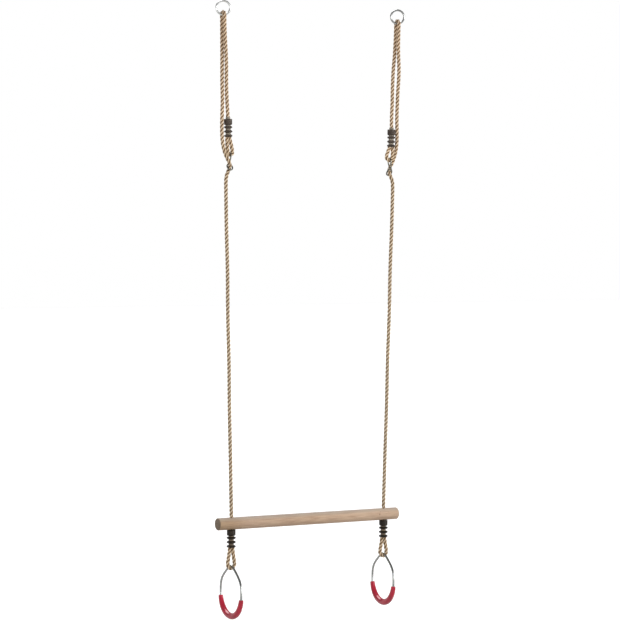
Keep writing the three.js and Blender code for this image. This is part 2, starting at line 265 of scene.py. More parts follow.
@dataclass(frozen=True)
class LaidRope:
    """Three-strand laid synthetic rope: pale tan yarns, with dirt and shade in the grooves of the lay."""

    crest: str = "F0D5B5"
    flank: str = "C9A681"
    groove: str = "6B523C"
    sheen: str = "FFF1E0"
    strands: int = 3
    # Real yarns are under a millimetre across, and are drawn coarser here so that they show
    yarns: int = 24
    yarn_bump_m: float = 0.00012
    fleck_mm: float = 1.6
    fleck_share: float = 0.22
    patch_mm: float = 60.0
    # How much darker and cooler it is at each height: darker over the ring and by the adjusters, and painted
    # shade that darkens it towards the bottom
    lowest: float = -1.66
    wear: Stops = (
        (-1.62, "E3E5E4"), (-1.54, "E6E8E6"), (-1.44, "E6EEF3"), (-0.56, "F4FBFF"), (-0.51, "ECF0F0"),
        (-0.44, "F2F4F0"), (-0.40, "FAFDFF"), (-0.12, "FFFFFF"), (-0.045, "FDFBF9"), (-0.026, "CACBCE"))

    def material(self) -> Material:
        """Build the material from the attributes that the rope's mesh carries.

        Returns:
            The material.
        """
        material, tree, shader = bare_material("laid_synthetic_rope")
        around = add(tree, "ShaderNodeAttribute", attribute_name="rope_profile").outputs["Vector"]
        turned = add(tree, "ShaderNodeAttribute", attribute_name="rope_turn").outputs["Fac"]
        part = add(tree, "ShaderNodeSeparateXYZ", {0: around}).outputs
        angle = add(tree, "ShaderNodeMath", {0: part["Y"], 1: part["X"]}, operation="ARCTAN2")
        # Round the section, the colour goes from groove to crest once for each strand
        lobes = add(tree, "ShaderNodeMath", {0: angle, 1: float(self.strands)}, operation="MULTIPLY")
        wave = add(tree, "ShaderNodeMath", {0: lobes}, operation="COSINE")
        crest = add(tree, "ShaderNodeMapRange", {"Value": wave, "From Min": -1.0, "From Max": 1.0})
        place = add(tree, "ShaderNodeTexCoord").outputs["Object"]
        fleck = add(tree, "ShaderNodeTexNoise", {
            "Vector": place, "Scale": 1 / (self.fleck_mm * MM), "Detail": 2.0})
        even = add(tree, "ShaderNodeMath", {0: fleck, 1: 0.5}, operation="SUBTRACT")
        lifted = add(tree, "ShaderNodeMath", {
            0: even, 1: self.fleck_share, 2: crest}, operation="MULTIPLY_ADD")
        colour = add(tree, "ShaderNodeValToRGB", {"Fac": lifted}, stops=[
            (0.12, self.groove), (0.46, self.flank), (0.82, self.crest), (1.0, self.crest)])
        patch = add(tree, "ShaderNodeTexNoise", {
            "Vector": place, "Scale": 1 / (self.patch_mm * MM), "Detail": 3.0, "Roughness": 0.6})
        shade = add(tree, "ShaderNodeMapRange", {
            "Value": patch, "From Min": 0.3, "From Max": 0.7, "To Min": 0.90, "To Max": 1.06})
        tinted = add(tree, "ShaderNodeVectorMath", {0: colour, 3: shade}, operation="SCALE")
        # Colour by height: painted shade darkens it towards the bottom
        height = add(tree, "ShaderNodeSeparateXYZ", {0: place}).outputs["Z"]
        share = add(tree, "ShaderNodeMapRange", {"Value": height, "From Min": self.lowest, "From Max": 0.0})
        worn = add(tree, "ShaderNodeValToRGB", {"Fac": share}, stops=[
            ((z - self.lowest) / -self.lowest, code) for z, code in self.wear])
        whole = add(tree, "ShaderNodeVectorMath", {0: tinted, 1: worn}, operation="MULTIPLY")
        # The yarns run along the rope while the strands wind round it, so the lay's turn is taken out
        free = add(tree, "ShaderNodeMath", {0: angle, 1: turned}, operation="ADD")
        yarns = add(tree, "ShaderNodeMath", {0: free, 1: float(self.yarns)}, operation="MULTIPLY")
        ridge = add(tree, "ShaderNodeMath", {0: yarns}, operation="SINE")
        bump = add(tree, "ShaderNodeBump", {"Height": ridge, "Strength": 0.6, "Distance": self.yarn_bump_m})
        feed(shader, {
            "Base Color": whole, "Normal": bump, "Roughness": 0.78, "Specular IOR Level": 0.25,
            "Sheen Weight": 0.8, "Sheen Roughness": 0.4, "Sheen Tint": linear(self.sheen)})
        return material


@dataclass(frozen=True)
class TurnedBeech:
    """Turned beech: pale brown, long faint grain, ray flecks, a top greyed by painted sheen, dark end grain.
    """

    pale: str = "C9AE94"
    base: str = "BCA088"
    dark: str = "A98B71"
    fleck: str = "967860"
    knot: str = "7A5A42"
    # The pale grey of the top's painted sheen
    grey: str = "A7A098"
    sawn: str = "857361"
    pore: str = "65553F"
    grain_mm: float = 2.4
    fleck_mm: float = 1.3
    ring_mm: float = 1.8
    # Along the bar, turn about its axis, and size in millimetres
    knots: tuple[tuple[float, float, float], ...] = (
        (0.232, 3.04, 3.4), (0.236, 2.62, 1.8), (0.262, 2.75, 1.5), (0.284, 3.3, 1.4), (-0.095, 1.1, 4.0))
    # How the tone drifts from the left end to the right
    drift: Stops = (
        (0.0, "D9D4C8"), (0.07, "DDD8CC"), (0.16, "EFEEEE"), (0.5, "F2EFEB"), (0.8, "FFFFFF"),
        (1.0, "FBFBFB"))
    # Where the sawn end's look begins and is whole, from the end
    end_from: float = 0.0027
    end_whole: float = 0.0014

    def material(self, axis_z: float, radius: float, half: float) -> Material:
        """Build the material.

        Args:
            axis_z: height of the bar's own axis.
            radius: the bar's radius.
            half: half of the bar's length.

        Returns:
            The material.
        """
        material, tree, shader = bare_material("weathered_turned_beech")
        place = add(tree, "ShaderNodeTexCoord").outputs["Object"]
        at = add(tree, "ShaderNodeMapping", {"Vector": place, "Location": (0, 0, -axis_z)})
        # Grain and ray flecks are drawn out along the bar
        long = add(tree, "ShaderNodeMapping", {"Vector": at, "Scale": (0.05, 1.0, 1.0)})
        grain = add(tree, "ShaderNodeTexNoise", {
            "Vector": long, "Scale": 1 / (self.grain_mm * MM), "Detail": 5.0, "Roughness": 0.55,
            "Distortion": 0.3})
        tone = add(tree, "ShaderNodeValToRGB", {"Fac": grain}, stops=[
            (0.28, self.dark), (0.45, self.base), (0.62, self.pale), (1.0, self.pale)])
        short = add(tree, "ShaderNodeMapping", {"Vector": at, "Scale": (0.16, 1.0, 1.0)})
        ray = add(tree, "ShaderNodeTexVoronoi", {
            "Vector": short, "Scale": 1 / (self.fleck_mm * MM)}, feature="F1")
        speck = add(tree, "ShaderNodeMapRange", {
            "Value": ray, "From Min": 0.12, "From Max": 0.30, "To Min": 0.34, "To Max": 0.0})
        colour = add(tree, "ShaderNodeMix", {
            "Factor": speck, "A": tone, "B": linear(self.fleck)}, data_type="RGBA")
        for along, turn, size in self.knots:
            spot = (along, radius * math.cos(turn), radius * math.sin(turn))
            away = add(tree, "ShaderNodeVectorMath", {0: at, 1: spot}, operation="DISTANCE")
            dark = add(tree, "ShaderNodeMapRange", {
                "Value": away, "From Min": size * MM * 0.2, "From Max": size * MM,
                "To Min": 0.7, "To Max": 0.0})
            colour = add(tree, "ShaderNodeMix", {
                "Factor": dark, "A": colour, "B": linear(self.knot)}, data_type="RGBA")
        part = add(tree, "ShaderNodeSeparateXYZ", {0: at}).outputs
        share = add(tree, "ShaderNodeMapRange", {"Value": part["X"], "From Min": -half, "From Max": half})
        drift = add(tree, "ShaderNodeValToRGB", {"Fac": share}, stops=self.drift)
        drifted = add(tree, "ShaderNodeVectorMath", {0: colour, 1: drift}, operation="MULTIPLY")
        # Painted sheen: the top is mixed towards a pale grey, while the underside keeps its brown
        upper = add(tree, "ShaderNodeMapRange", {
            "Value": part["Z"], "From Min": radius * 0.35, "From Max": radius, "To Max": 0.62})
        with_top_sheen = add(tree, "ShaderNodeMix", {
            "Factor": upper, "A": drifted, "B": linear(self.grey)}, data_type="RGBA")
        # The sawn ends drink dirt, and show pores and rings end on
        rings = add(tree, "ShaderNodeTexNoise", {
            "Vector": at, "Scale": 1 / (self.ring_mm * MM), "Detail": 4.0})
        end_grain = add(tree, "ShaderNodeValToRGB", {"Fac": rings}, stops=[
            (0.35, self.pore), (0.62, self.sawn)])
        out = add(tree, "ShaderNodeMath", {0: part["X"]}, operation="ABSOLUTE")
        ends = add(tree, "ShaderNodeMapRange", {
            "Value": out, "From Min": half - self.end_from, "From Max": half - self.end_whole})
        finished = add(tree, "ShaderNodeMix", {"Factor": ends, "A": with_top_sheen, "B": end_grain}, data_type="RGBA")
        rough = add(tree, "ShaderNodeMapRange", {"Value": grain, "To Min": 0.52, "To Max": 0.66})
        bump = add(tree, "ShaderNodeBump", {"Height": grain, "Strength": 0.15, "Distance": 0.0003})
        feed(shader, {
            "Base Color": finished, "Roughness": rough, "Normal": bump, "Specular IOR Level": 0.4})
        return material


@dataclass(frozen=True)
class MouldedPlastic:
    """Injection moulded polypropylene: even colour, a fine matt skin and soft broad highlights."""

    name: str = "moulded_polypropylene"
    body: str = "3F352E"
    worn: str = "544A41"
    roughness: float = 0.50
    grain_mm: float = 0.9
    cloud_mm: float = 14.0

    def material(self) -> Material:
        """Build the material.

        Returns:
            The material.
        """
        material, tree, shader = bare_material(self.name)
        place = add(tree, "ShaderNodeTexCoord").outputs["Object"]
        cloud = add(tree, "ShaderNodeTexNoise", {
            "Vector": place, "Scale": 1 / (self.cloud_mm * MM), "Detail": 4.0})
        colour = add(tree, "ShaderNodeValToRGB", {"Fac": cloud}, stops=[(0.35, self.body), (0.75, self.worn)])
        skin = add(tree, "ShaderNodeTexNoise", {
            "Vector": place, "Scale": 1 / (self.grain_mm * MM), "Detail": 2.0})
        bump = add(tree, "ShaderNodeBump", {"Height": skin, "Strength": 0.25, "Distance": 0.0001})
        feed(shader, {
            "Base Color": colour, "Normal": bump, "Roughness": self.roughness, "Specular IOR Level": 0.3})
        return material


@dataclass(frozen=True)
class RedVinyl:
    """Dip-moulded red vinyl: deep even red, wet gloss, with a very slight orange peel."""

    body: str = "BA1234"
    deep: str = "9C0A28"
    cloud_mm: float = 22.0
    peel_mm: float = 2.5

    def material(self) -> Material:
        """Build the material.

        Returns:
            The material.
        """
        material, tree, shader = bare_material("moulded_red_vinyl")
        place = add(tree, "ShaderNodeTexCoord").outputs["Object"]
        cloud = add(tree, "ShaderNodeTexNoise", {
            "Vector": place, "Scale": 1 / (self.cloud_mm * MM), "Detail": 2.0})
        colour = add(tree, "ShaderNodeValToRGB", {"Fac": cloud}, stops=[(0.3, self.deep), (0.65, self.body)])
        peel = add(tree, "ShaderNodeTexNoise", {
            "Vector": place, "Scale": 1 / (self.peel_mm * MM), "Detail": 1.0})
        bump = add(tree, "ShaderNodeBump", {"Height": peel, "Strength": 0.12, "Distance": 0.0001})
        feed(shader, {
            "Base Color": colour, "Normal": bump, "Roughness": 0.34, "Specular IOR Level": 0.35,
            "Coat Weight": 0.6, "Coat Roughness": 0.10})
        return material


@dataclass(frozen=True)
class PlatedSteel:
    """Zinc-plated steel wire: cool grey metal, faint drawing marks and slightly cloudy plating."""

    name: str = "zinc_plated_steel_wire"
    bright: str = "F6F7F6"
    cloud: str = "E4E5E3"
    roughness: tuple[float, float] = (0.16, 0.30)
    cloud_mm: float = 9.0
    mark_mm: float = 0.8

    def material(self) -> Material:
        """Build the material.

        Returns:
            The material.
        """
        material, tree, shader = bare_material(self.name)
        place = add(tree, "ShaderNodeTexCoord").outputs["Object"]
        cloud = add(tree, "ShaderNodeTexNoise", {
            "Vector": place, "Scale": 1 / (self.cloud_mm * MM), "Detail": 5.0, "Roughness": 0.6})
        colour = add(tree, "ShaderNodeValToRGB", {"Fac": cloud}, stops=[
            (0.3, self.cloud), (0.7, self.bright)])
        smooth, rough = self.roughness
        polish = add(tree, "ShaderNodeMapRange", {
            "Value": cloud, "From Min": 0.3, "From Max": 0.7, "To Min": rough, "To Max": smooth})
        marks = add(tree, "ShaderNodeTexNoise", {
            "Vector": place, "Scale": 1 / (self.mark_mm * MM), "Detail": 2.0})
        bump = add(tree, "ShaderNodeBump", {"Height": marks, "Strength": 0.2, "Distance": 0.00008})
        feed(shader, {"Base Color": colour, "Roughness": polish, "Normal": bump, "Metallic": 1.0})
        return material


def linked(name: str, data: Any) -> Object:
    """Make an object and link it to the scene.

    Args:
        name: the object's name.
        data: its mesh, lamp or camera.

    Returns:
        The object, at the origin.
    """
    made = bpy.data.objects.new(name, data)
    bpy.context.scene.collection.objects.link(made)
    return made


def chain(line: Sequence[Vector], closed: bool = False) -> Object:
    """Make an object of vertices joined one after the other, for a geometry tree to follow.

    Args:
        line: the points.
        closed: whether the last point joins the first.

    Returns:
        The linked object.
    """
    mesh = bpy.data.meshes.new("line")
    edges = [(i, i + 1) for i in range(len(line) - 1)] + ([(len(line) - 1, 0)] if closed else [])
    mesh.from_pydata([tuple(point) for point in line], edges, [])
    return linked("line", mesh)


@dataclass
class ShapeTree:
    """A geometry tree with named inputs, the last of them its material."""

    name: str
    kinds: dict[str, str]
    tree: NodeTree = field(init=False)
    sockets: dict[str, str] = field(init=False)
    given: Any = field(init=False)

    def __post_init__(self) -> None:
        """Make the tree and its inputs, from input name to kind of socket."""
        self.tree = bpy.data.node_groups.new(self.name, "GeometryNodeTree")
        socket = self.tree.interface.new_socket
        socket("Geometry", in_out="INPUT", socket_type="NodeSocketGeometry")
        socket("Geometry", in_out="OUTPUT", socket_type="NodeSocketGeometry")
        self.sockets = {
            name: socket(name, in_out="INPUT", socket_type=f"NodeSocket{kind}").identifier
            for name, kind in {**self.kinds, "Material": "Material"}.items()
        }
        self.given = add(self.tree, "NodeGroupInput").outputs

    def curve(self) -> Node:
        """Turn the chain that comes in into an even curve that twists as little as it can.

        Returns:
            The node that gives the curve.
        """
        path = add(self.tree, "GeometryNodeMeshToCurve", {"Mesh": self.given["Geometry"]})
        even = add(self.tree, "GeometryNodeResampleCurve", {
            "Curve": path, "Length": self.given["Step"]}, mode="LENGTH")
        return add(self.tree, "GeometryNodeSetCurveNormal", {"Curve": even}, mode="MINIMUM_TWIST")

    def finish(self, shape: Node) -> None:
        """End the tree: no instances, and the material on every face.

        Args:
            shape: the node that gives the shape.
        """
        whole = add(self.tree, "GeometryNodeRealizeInstances", {"Geometry": shape})
        dressed = add(self.tree, "GeometryNodeSetMaterial", {
            "Geometry": whole, "Material": self.given["Material"]})
        add(self.tree, "NodeGroupOutput", {"Geometry": dressed})

    def grow(self, carrier: Object, values: dict[str, Any]) -> Mesh:
        """Run the tree on an object and keep the result as a plain mesh.

        Args:
            carrier: the object that the tree starts from, which is removed.
            values: input name to value.

        Returns:
            The mesh.
        """
        modifier = carrier.modifiers.new("shape", "NODES")
        modifier.node_group = self.tree
        for name, value in values.items():
            modifier[self.sockets[name]] = value
        carrier.update_tag()
        graph = bpy.context.evaluated_depsgraph_get()
        graph.update()
        mesh = bpy.data.meshes.new_from_object(carrier.evaluated_get(graph))
        carrier.modifiers.remove(modifier)
        bpy.data.objects.remove(carrier)
        return mesh


def piece(name: str, mesh: Mesh, material: Material, edge: Edge) -> Object:
    """Link a finished mesh as a named piece.

    Args:
        name: the piece's name.
        mesh: its mesh, in the object's own frame.
        material: its only material.
        edge: how it is shaded.

    Returns:
        The linked object.
    """
    mesh.name = name
    mesh.materials.clear()
    mesh.materials.append(material)
    mesh.shade_smooth()
    if edge is not Edge.SOFT:
        mesh.set_sharp_from_angle(angle=edge.value)
    LOG.info("%s: %d faces", name, len(mesh.polygons))
    return linked(name, mesh)


def lathe(profile: Sequence[tuple[float, float]], segments: int,
          place: Callable[[float, float, float], Vector], closed: bool = False) -> Mesh:
    """Turn a profile about an axis, which may itself be bent.

    Args:
        profile: points of radius and distance along the axis.
        segments: how many steps go round.
        place: gives the point at a radius, a distance along and an angle.
        closed: whether the profile closes on itself, as round a bore.

    Returns:
        The closed mesh, its faces outwards.
    """
    build = bmesh.new()
    rings = []
    for radius, along in profile:
        if radius == 0:
            rings.append([build.verts.new(place(0, along, 0))] * segments)
        else:
            rings.append([
                build.verts.new(place(radius, along, TURN * i / segments)) for i in range(segments)])
    pairs = list(zip(rings, rings[1:])) + ([(rings[-1], rings[0])] if closed else [])
    for low, high in pairs:
        for i in range(segments):
            corners = [low[i], low[(i + 1) % segments], high[(i + 1) % segments], high[i]]
            unique = list(dict.fromkeys(corners))
            if len(unique) > 2:
                build.faces.new(unique)
    bmesh.ops.recalc_face_normals(build, faces=build.faces)
    mesh = bpy.data.meshes.new("turned")
    build.to_mesh(mesh)
    build.free()
    return mesh


def smooth_line(points: Sequence[Vector], steps: int, closed: bool = False) -> list[Vector]:
    """Run a smooth curve through given points.

    Args:
        points: the points, in order.
        steps: how many steps go into each span.
        closed: whether the curve closes on itself.

    Returns:
        The points along the curve.
    """
    count = len(points)
    spans = count if closed else count - 1
    line: list[Vector] = []
    for i in range(spans):
        if closed:
            four = [points[(i + k) % count] for k in (-1, 0, 1, 2)]
        else:
            before = points[i - 1] if i > 0 else points[0] * 2 - points[1]
            after = points[i + 2] if i + 2 < count else points[-1] * 2 - points[-2]
            four = [before, points[i], points[i + 1], after]
        knots = [0.0]
        for a, b in zip(four, four[1:]):
            knots.append(knots[-1] + max((b - a).length, 1e-9) ** 0.5)
        for k in range(steps):
            t = knots[1] + (knots[2] - knots[1]) * k / steps
            line.append(catmull(four, knots, t))
    if not closed:
        line.append(points[-1].copy())
    return line


def catmull(four: Sequence[Vector], knots: Sequence[float], t: float) -> Vector:
    """Find a point on the centripetal curve between the middle two of four points.

    Args:
        four: the points.
        knots: the curve's parameter at each of them.
        t: the parameter of the point that is wanted.

    Returns:
        The point.
    """
    level = list(four)
    for width in (1, 2):
        level = [
            (level[i] * (knots[i + width] - t) + level[i + 1] * (t - knots[i]))
            / (knots[i + width] - knots[i])
            for i in range(len(level) - 1)
        ]
    return (level[0] * (knots[2] - t) + level[1] * (t - knots[1])) / (knots[2] - knots[1])


def length_of(line: Sequence[Vector]) -> float:
    """Add up the lengths of a line's steps."""
    return sum((b - a).length for a, b in zip(line, line[1:]))


@dataclass
class Rig:
    """Where the ropes run, worked out from the frame's joints."""

    frame: dict[str, Any]
    hips: dict[str, Vector] = field(init=False)
    axes: dict[str, Vector] = field(init=False)

    def __post_init__(self) -> None:
        """Read the joints' places and axes."""
        self.hips = {joint["name"]: Vector(joint["pos_m"]) for joint in self.frame["joints"]}
        self.axes = {joint["name"]: Vector(joint["axis"]).normalized() for joint in self.frame["joints"]}

    @property
    def swing_z(self) -> float:
        """Height of the axis on which the bights turn."""
        return self.hips["swing"].z

    @property
    def low(self) -> Vector:
        """Foot of the right rope's line, just above the bar."""
        foot = self.hips["bar_level"]
        return Vector((abs(foot.x), 0, foot.z))

    @property
    def splay(self) -> float:
        """How far each rope leans outward, going up."""
        flex = self.hips["sway_right"]
        return math.atan2(flex.x - self.low.x, flex.z - self.low.z)

    @property
    def top(self) -> Vector:
        """The right rope's place on the swing axis."""
        return Vector((self.low.x + (self.swing_z - self.low.z) * math.tan(self.splay), 0, self.swing_z))

    def placed(self, side: Side, point: Sequence[float]) -> Vector:
        """Place a route's point.

        Args:
            side: the side that it is on.
            point: outward of the rope's line, towards the back, and down from the swing axis.

        Returns:
            The point in the object's frame.
        """
        outward, back, drop = point
        x = outward * math.cos(self.splay) - drop * math.sin(self.splay)
        z = -outward * math.sin(self.splay) - drop * math.cos(self.splay)
        return Vector(((self.top.x + x) * side.value, back * side.value, self.swing_z + z))


@dataclass
class RopeMaker:
    """Makes laid rope along any line, as one closed mesh that carries its lay for the material."""

    finish: Material
    diameter: float = 0.010
    lay: float = 0.036
    step: float = 0.0012
    sides: int = 30
    strand_share: float = 0.55
    # The eye sees the loose outer yarns too, so the mesh is a little fuller than the rope's nominal size
    fullness: float = 1.14
    # Where along its rounding a tucked end is cut off, and its width where the rounding starts, as shares
    tuck_tip: float = 0.98
    tuck_share: float = 0.96
    shape: ShapeTree = field(init=False)

    def __post_init__(self) -> None:
        """Build the geometry tree once."""
        self.shape = ShapeTree("laid_rope", {
            "Diameter": "Float", "Lay": "Float", "Lay Start": "Float", "Step": "Float", "Sides": "Int",
            "Strand Share": "Float"})
        tree, given = self.shape.tree, self.shape.given
        along = add(tree, "GeometryNodeSplineParameter").outputs["Length"]
        laid = add(tree, "ShaderNodeMath", {0: along, 1: given["Lay Start"]}, operation="ADD")
        turns = add(tree, "ShaderNodeMath", {0: laid, 1: given["Lay"]}, operation="DIVIDE")
        tilt = add(tree, "ShaderNodeMath", {0: turns, 1: TURN}, operation="MULTIPLY")
        twisted = add(tree, "GeometryNodeSetCurveTilt", {"Curve": self.shape.curve(), "Tilt": tilt})
        marked = add(tree, "GeometryNodeSetCurveRadius", {"Curve": twisted, "Radius": 1.0})
        for name, value in (("rope_along", along), ("rope_turn", tilt)):
            marked = add(tree, "GeometryNodeStoreNamedAttribute", {
                "Geometry": marked, "Name": name, "Value": value}, data_type="FLOAT", domain="POINT")
        self.shape.finish(add(tree, "GeometryNodeCurveToMesh", {
            "Curve": marked, "Profile Curve": self.section(), "Fill Caps": True}))

    def section(self) -> Node:
        """Add the rope's section: round strands side by side, each a lobe of the outline.

        Returns:
            The node that gives the section's curve.
        """
        tree, given = self.shape.tree, self.shape.given
        lobe = TURN / LaidRope.strands
        position = add(tree, "GeometryNodeInputPosition")
        disc = add(tree, "GeometryNodeCurvePrimitiveCircle", {"Resolution": given["Sides"], "Radius": 1.0})
        marked = add(tree, "GeometryNodeStoreNamedAttribute", {
            "Geometry": disc, "Name": "rope_profile", "Value": position},
            data_type="FLOAT_VECTOR", domain="POINT")
        share = add(tree, "GeometryNodeSplineParameter").outputs["Factor"]
        angle = add(tree, "ShaderNodeMath", {0: share, 1: TURN}, operation="MULTIPLY")
        shifted = add(tree, "ShaderNodeMath", {0: angle, 1: lobe / 2}, operation="ADD")
        folded = add(tree, "ShaderNodeMath", {0: shifted, 1: lobe}, operation="MODULO")
        off = add(tree, "ShaderNodeMath", {0: folded, 1: lobe / 2}, operation="SUBTRACT")
        # How far out a line from the middle, this much off the strand's own direction, leaves the strand
        centre = add(tree, "ShaderNodeMath", {0: 1.0, 1: given["Strand Share"]}, operation="SUBTRACT")
        sine = add(tree, "ShaderNodeMath", {0: off}, operation="SINE")
        side = add(tree, "ShaderNodeMath", {0: sine, 1: centre}, operation="MULTIPLY")
        square = add(tree, "ShaderNodeMath", {0: side, 1: 2.0}, operation="POWER")
        own = add(tree, "ShaderNodeMath", {0: given["Strand Share"], 1: 2.0}, operation="POWER")
        rest = add(tree, "ShaderNodeMath", {0: own, 1: square}, operation="SUBTRACT")
        reach = add(tree, "ShaderNodeMath", {0: rest, 1: 0.5}, operation="POWER")
        cosine = add(tree, "ShaderNodeMath", {0: off}, operation="COSINE")
        out = add(tree, "ShaderNodeMath", {0: cosine, 1: centre, 2: reach}, operation="MULTIPLY_ADD")
        half = add(tree, "ShaderNodeMath", {0: given["Diameter"], 1: 0.5}, operation="MULTIPLY")
        radius = add(tree, "ShaderNodeMath", {0: out, 1: half}, operation="MULTIPLY")
        place = add(tree, "ShaderNodeVectorMath", {0: position, 3: radius}, operation="SCALE")
        return add(tree, "GeometryNodeSetPosition", {"Geometry": marked, "Position": place})

    def mesh(self, line: Sequence[Vector], lay_start: float = 0.0) -> Mesh:
        """Lay rope along a line.

        Args:
            line: the rope's centreline.
            lay_start: how much of a lay is behind the line's start, which turns the strands there.

        Returns:
            The mesh.
        """
        return self.shape.grow(chain(line), {
            "Diameter": self.diameter * self.fullness, "Lay": self.lay, "Lay Start": lay_start,
            "Step": self.step, "Sides": self.sides, "Strand Share": self.strand_share,
            "Material": self.finish})

    def parted(self, mesh: Mesh, at: float, tuck: float = 0.0,
               centre: Vector | None = None) -> tuple[Mesh, Mesh]:
        """Part a rope's mesh in two, each closed at the cut.

        Args:
            mesh: the whole rope, which is used up.
            at: how far along the cut is.
            tuck: how far the second half reaches back inside the first, rounded off.
            centre: the middle of the rope at the cut, needed with a tuck.

        Returns:
            What lies before the cut, and what lies after it.
        """
        halves = []
        for before, edge in ((True, at), (False, at - tuck)):
            build = bmesh.new()
            build.from_mesh(mesh)
            along = build.verts.layers.float["rope_along"]
            gone = [
                face for face in build.faces
                if (sum(vert[along] for vert in face.verts) / len(face.verts) > edge) == before
            ]
            bmesh.ops.delete(build, geom=gone, context="FACES")
            for vert in build.verts:
                if not before and centre is not None and vert[along] < at:
                    share = min((at - vert[along]) / (tuck + self.step), self.tuck_tip)
                    drawn = self.tuck_share * math.sqrt(1 - share * share)
                    vert.co.x = centre.x + (vert.co.x - centre.x) * drawn
                    vert.co.y = centre.y + (vert.co.y - centre.y) * drawn
            rim = [edge_ for edge_ in build.edges if edge_.is_boundary]
            bmesh.ops.contextual_create(build, geom=rim)
            half = bpy.data.meshes.new("rope")
            build.to_mesh(half)
            build.free()
            halves.append(half)
        bpy.data.meshes.remove(mesh)
        return halves[0], halves[1]

    def declare(self, made: Object, line: Sequence[Vector], lay: str) -> None:
        """Args:
            made: the piece, not used.
            line: its centreline, not used.
        """


@dataclass
class SideRopes:
    """One side's rope, from its clamped tail over the top ring to the eye that holds the gym ring."""

    rig: Rig
    side: Side
    maker: RopeMaker
    sleeve_drop: float
    adjuster_drop: float
    bight_bend: float = 0.00845
    flex_drop: float = 0.015
    leg_offset: float = 0.010
    clamped: float = 0.030
    cut_below: float = 0.010
    lay_start: float = 0.003
    steps: int = 6
    # How far a joint's bend is spread, up and down, at the ring and at the bar, and how far the parted
    # end reaches up inside the rope above it
    flex_half: float = 0.007
    foot_half: float = 0.0055
    tuck: float = 0.004

    def build(self) -> None:
        """Build the stretches that hang between ring and bar: two on the left side, three on the right."""
        word = self.side.word
        body = f"rope_{word}"
        line = smooth_line(self.points(), self.steps)
        whole = self.maker.mesh(line, self.lay_start)
        parting = self.rig.swing_z - self.adjuster_drop - self.cut_below
        first = max(i for i, point in enumerate(line) if point.z > parting)
        upper, lower = self.maker.parted(whole, length_of(line[:first + 1]))
        hanger = piece(f"rope_over_ring_{word}", upper, self.maker.finish, Edge.SOFT)
        flex = self.rig.hips["sway_right"].z
        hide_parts(f"rope_bight_{word}", f"rope_tail_{word}")
        self.maker.declare(hanger, line[:first + 1], "hanging")
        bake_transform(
            hanger, "bights", body, start=(0, 0, flex + self.flex_half), end=(0, 0, flex - self.flex_half))
        foot = self.rig.low.z
        if self.side is Side.LEFT:
            main = piece(f"rope_to_bar_{word}", lower, self.maker.finish, Edge.SOFT)
            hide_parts(f"rope_main_{word}", f"rope_lower_{word}")
            self.maker.declare(main, line[first:], "taut")
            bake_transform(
                main, body, "bar", start=(0, 0, foot + self.foot_half), end=(0, 0, foot - self.foot_half))
            return
        # No joint joins this rope to the bar, so it is parted there, its lower end rounded into the upper
        last = max(i for i, point in enumerate(line) if point.z >= foot)
        cut = length_of(line[:last + 1])
        above, below = self.maker.parted(lower, cut, tuck=self.tuck, centre=line[last])
        main = piece(f"rope_to_bar_{word}", above, self.maker.finish, Edge.SOFT)
        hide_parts(f"rope_main_{word}")
        self.maker.declare(main, line[first:last + 1], "taut")
        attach(main, body)
        through = piece(f"rope_through_bar_{word}", below, self.maker.finish, Edge.SOFT)
        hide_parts(f"rope_lower_{word}")
        self.maker.declare(through, line[last:], "taut")
        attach(through, "bar")

    def points(self) -> list[Vector]:
        """List the route from the clamped tail to the lower sleeve.

        Returns:
            The points, in the object's frame.
        """
        bend, flex = self.bight_bend, self.flex_drop
        inward, sleeve = -self.leg_offset, self.sleeve_drop
        route = [(inward, 0.0, sleeve + self.clamped), (inward, 0.0, sleeve)]
        route += TAIL_ROUTES[self.side.word][::-1]
        route += [(0.0, bend, flex), (0.0, bend, flex / 3)]
        for i in range(BEND_STEPS + 1):
            angle = math.pi * i / BEND_STEPS
            route.append((0.0, bend * math.cos(angle), -bend * math.sin(angle)))
        route += [(0.0, -bend, flex / 3), (0.0, -bend, flex)]
        route += MAIN_ROUTES[self.side.word]
        route += [(out, back, self.adjuster_drop + below) for out, back, below in CROSSING_ROUTE]
        placed = [self.rig.placed(self.side, point) for point in route + LOW_ROUTE]
        foot = Vector((self.rig.low.x * self.side.value, 0, self.rig.low.z))
        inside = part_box(f"lower_sleeve_{self.side.word}")[1][2] - self.clamped
        return placed + [foot, Vector((foot.x, 0, (foot.z + inside) / 2)), Vector((foot.x, 0, inside))]


@dataclass(frozen=True)
class EyeShape:
    """How an eye of rope spreads from its sleeve's mouth down to its bend, for half of it."""

    # How far its lowest point is below the wire that it holds, and the radius of its bend
    below_wire: float
    bend: float
    belly: float
    mouth_half: float
    pinch: float
    # Share of the way from the mouth's half width to the belly's, and share of the way down
    swell: Pairs


GYM_RING_EYE = EyeShape(
    0.0085, 0.0085, 0.0107, 0.0044, 0.0034, ((0, 0.0), (0.28, 0.3), (0.68, 0.6), (1, 0.85), (0.92, 1.0)))
ADJUSTER_SWELL = ((0, 0.0), (0.35, 0.22), (0.72, 0.44), (1, 0.95))
ADJUSTER_EYES = {
    Side.LEFT: EyeShape(0.0075, 0.0076, 0.0072, 0.0036, 0.0030, ADJUSTER_SWELL),
    Side.RIGHT: EyeShape(0.0075, 0.0076, 0.0096, 0.0043, 0.0030, ADJUSTER_SWELL),
}


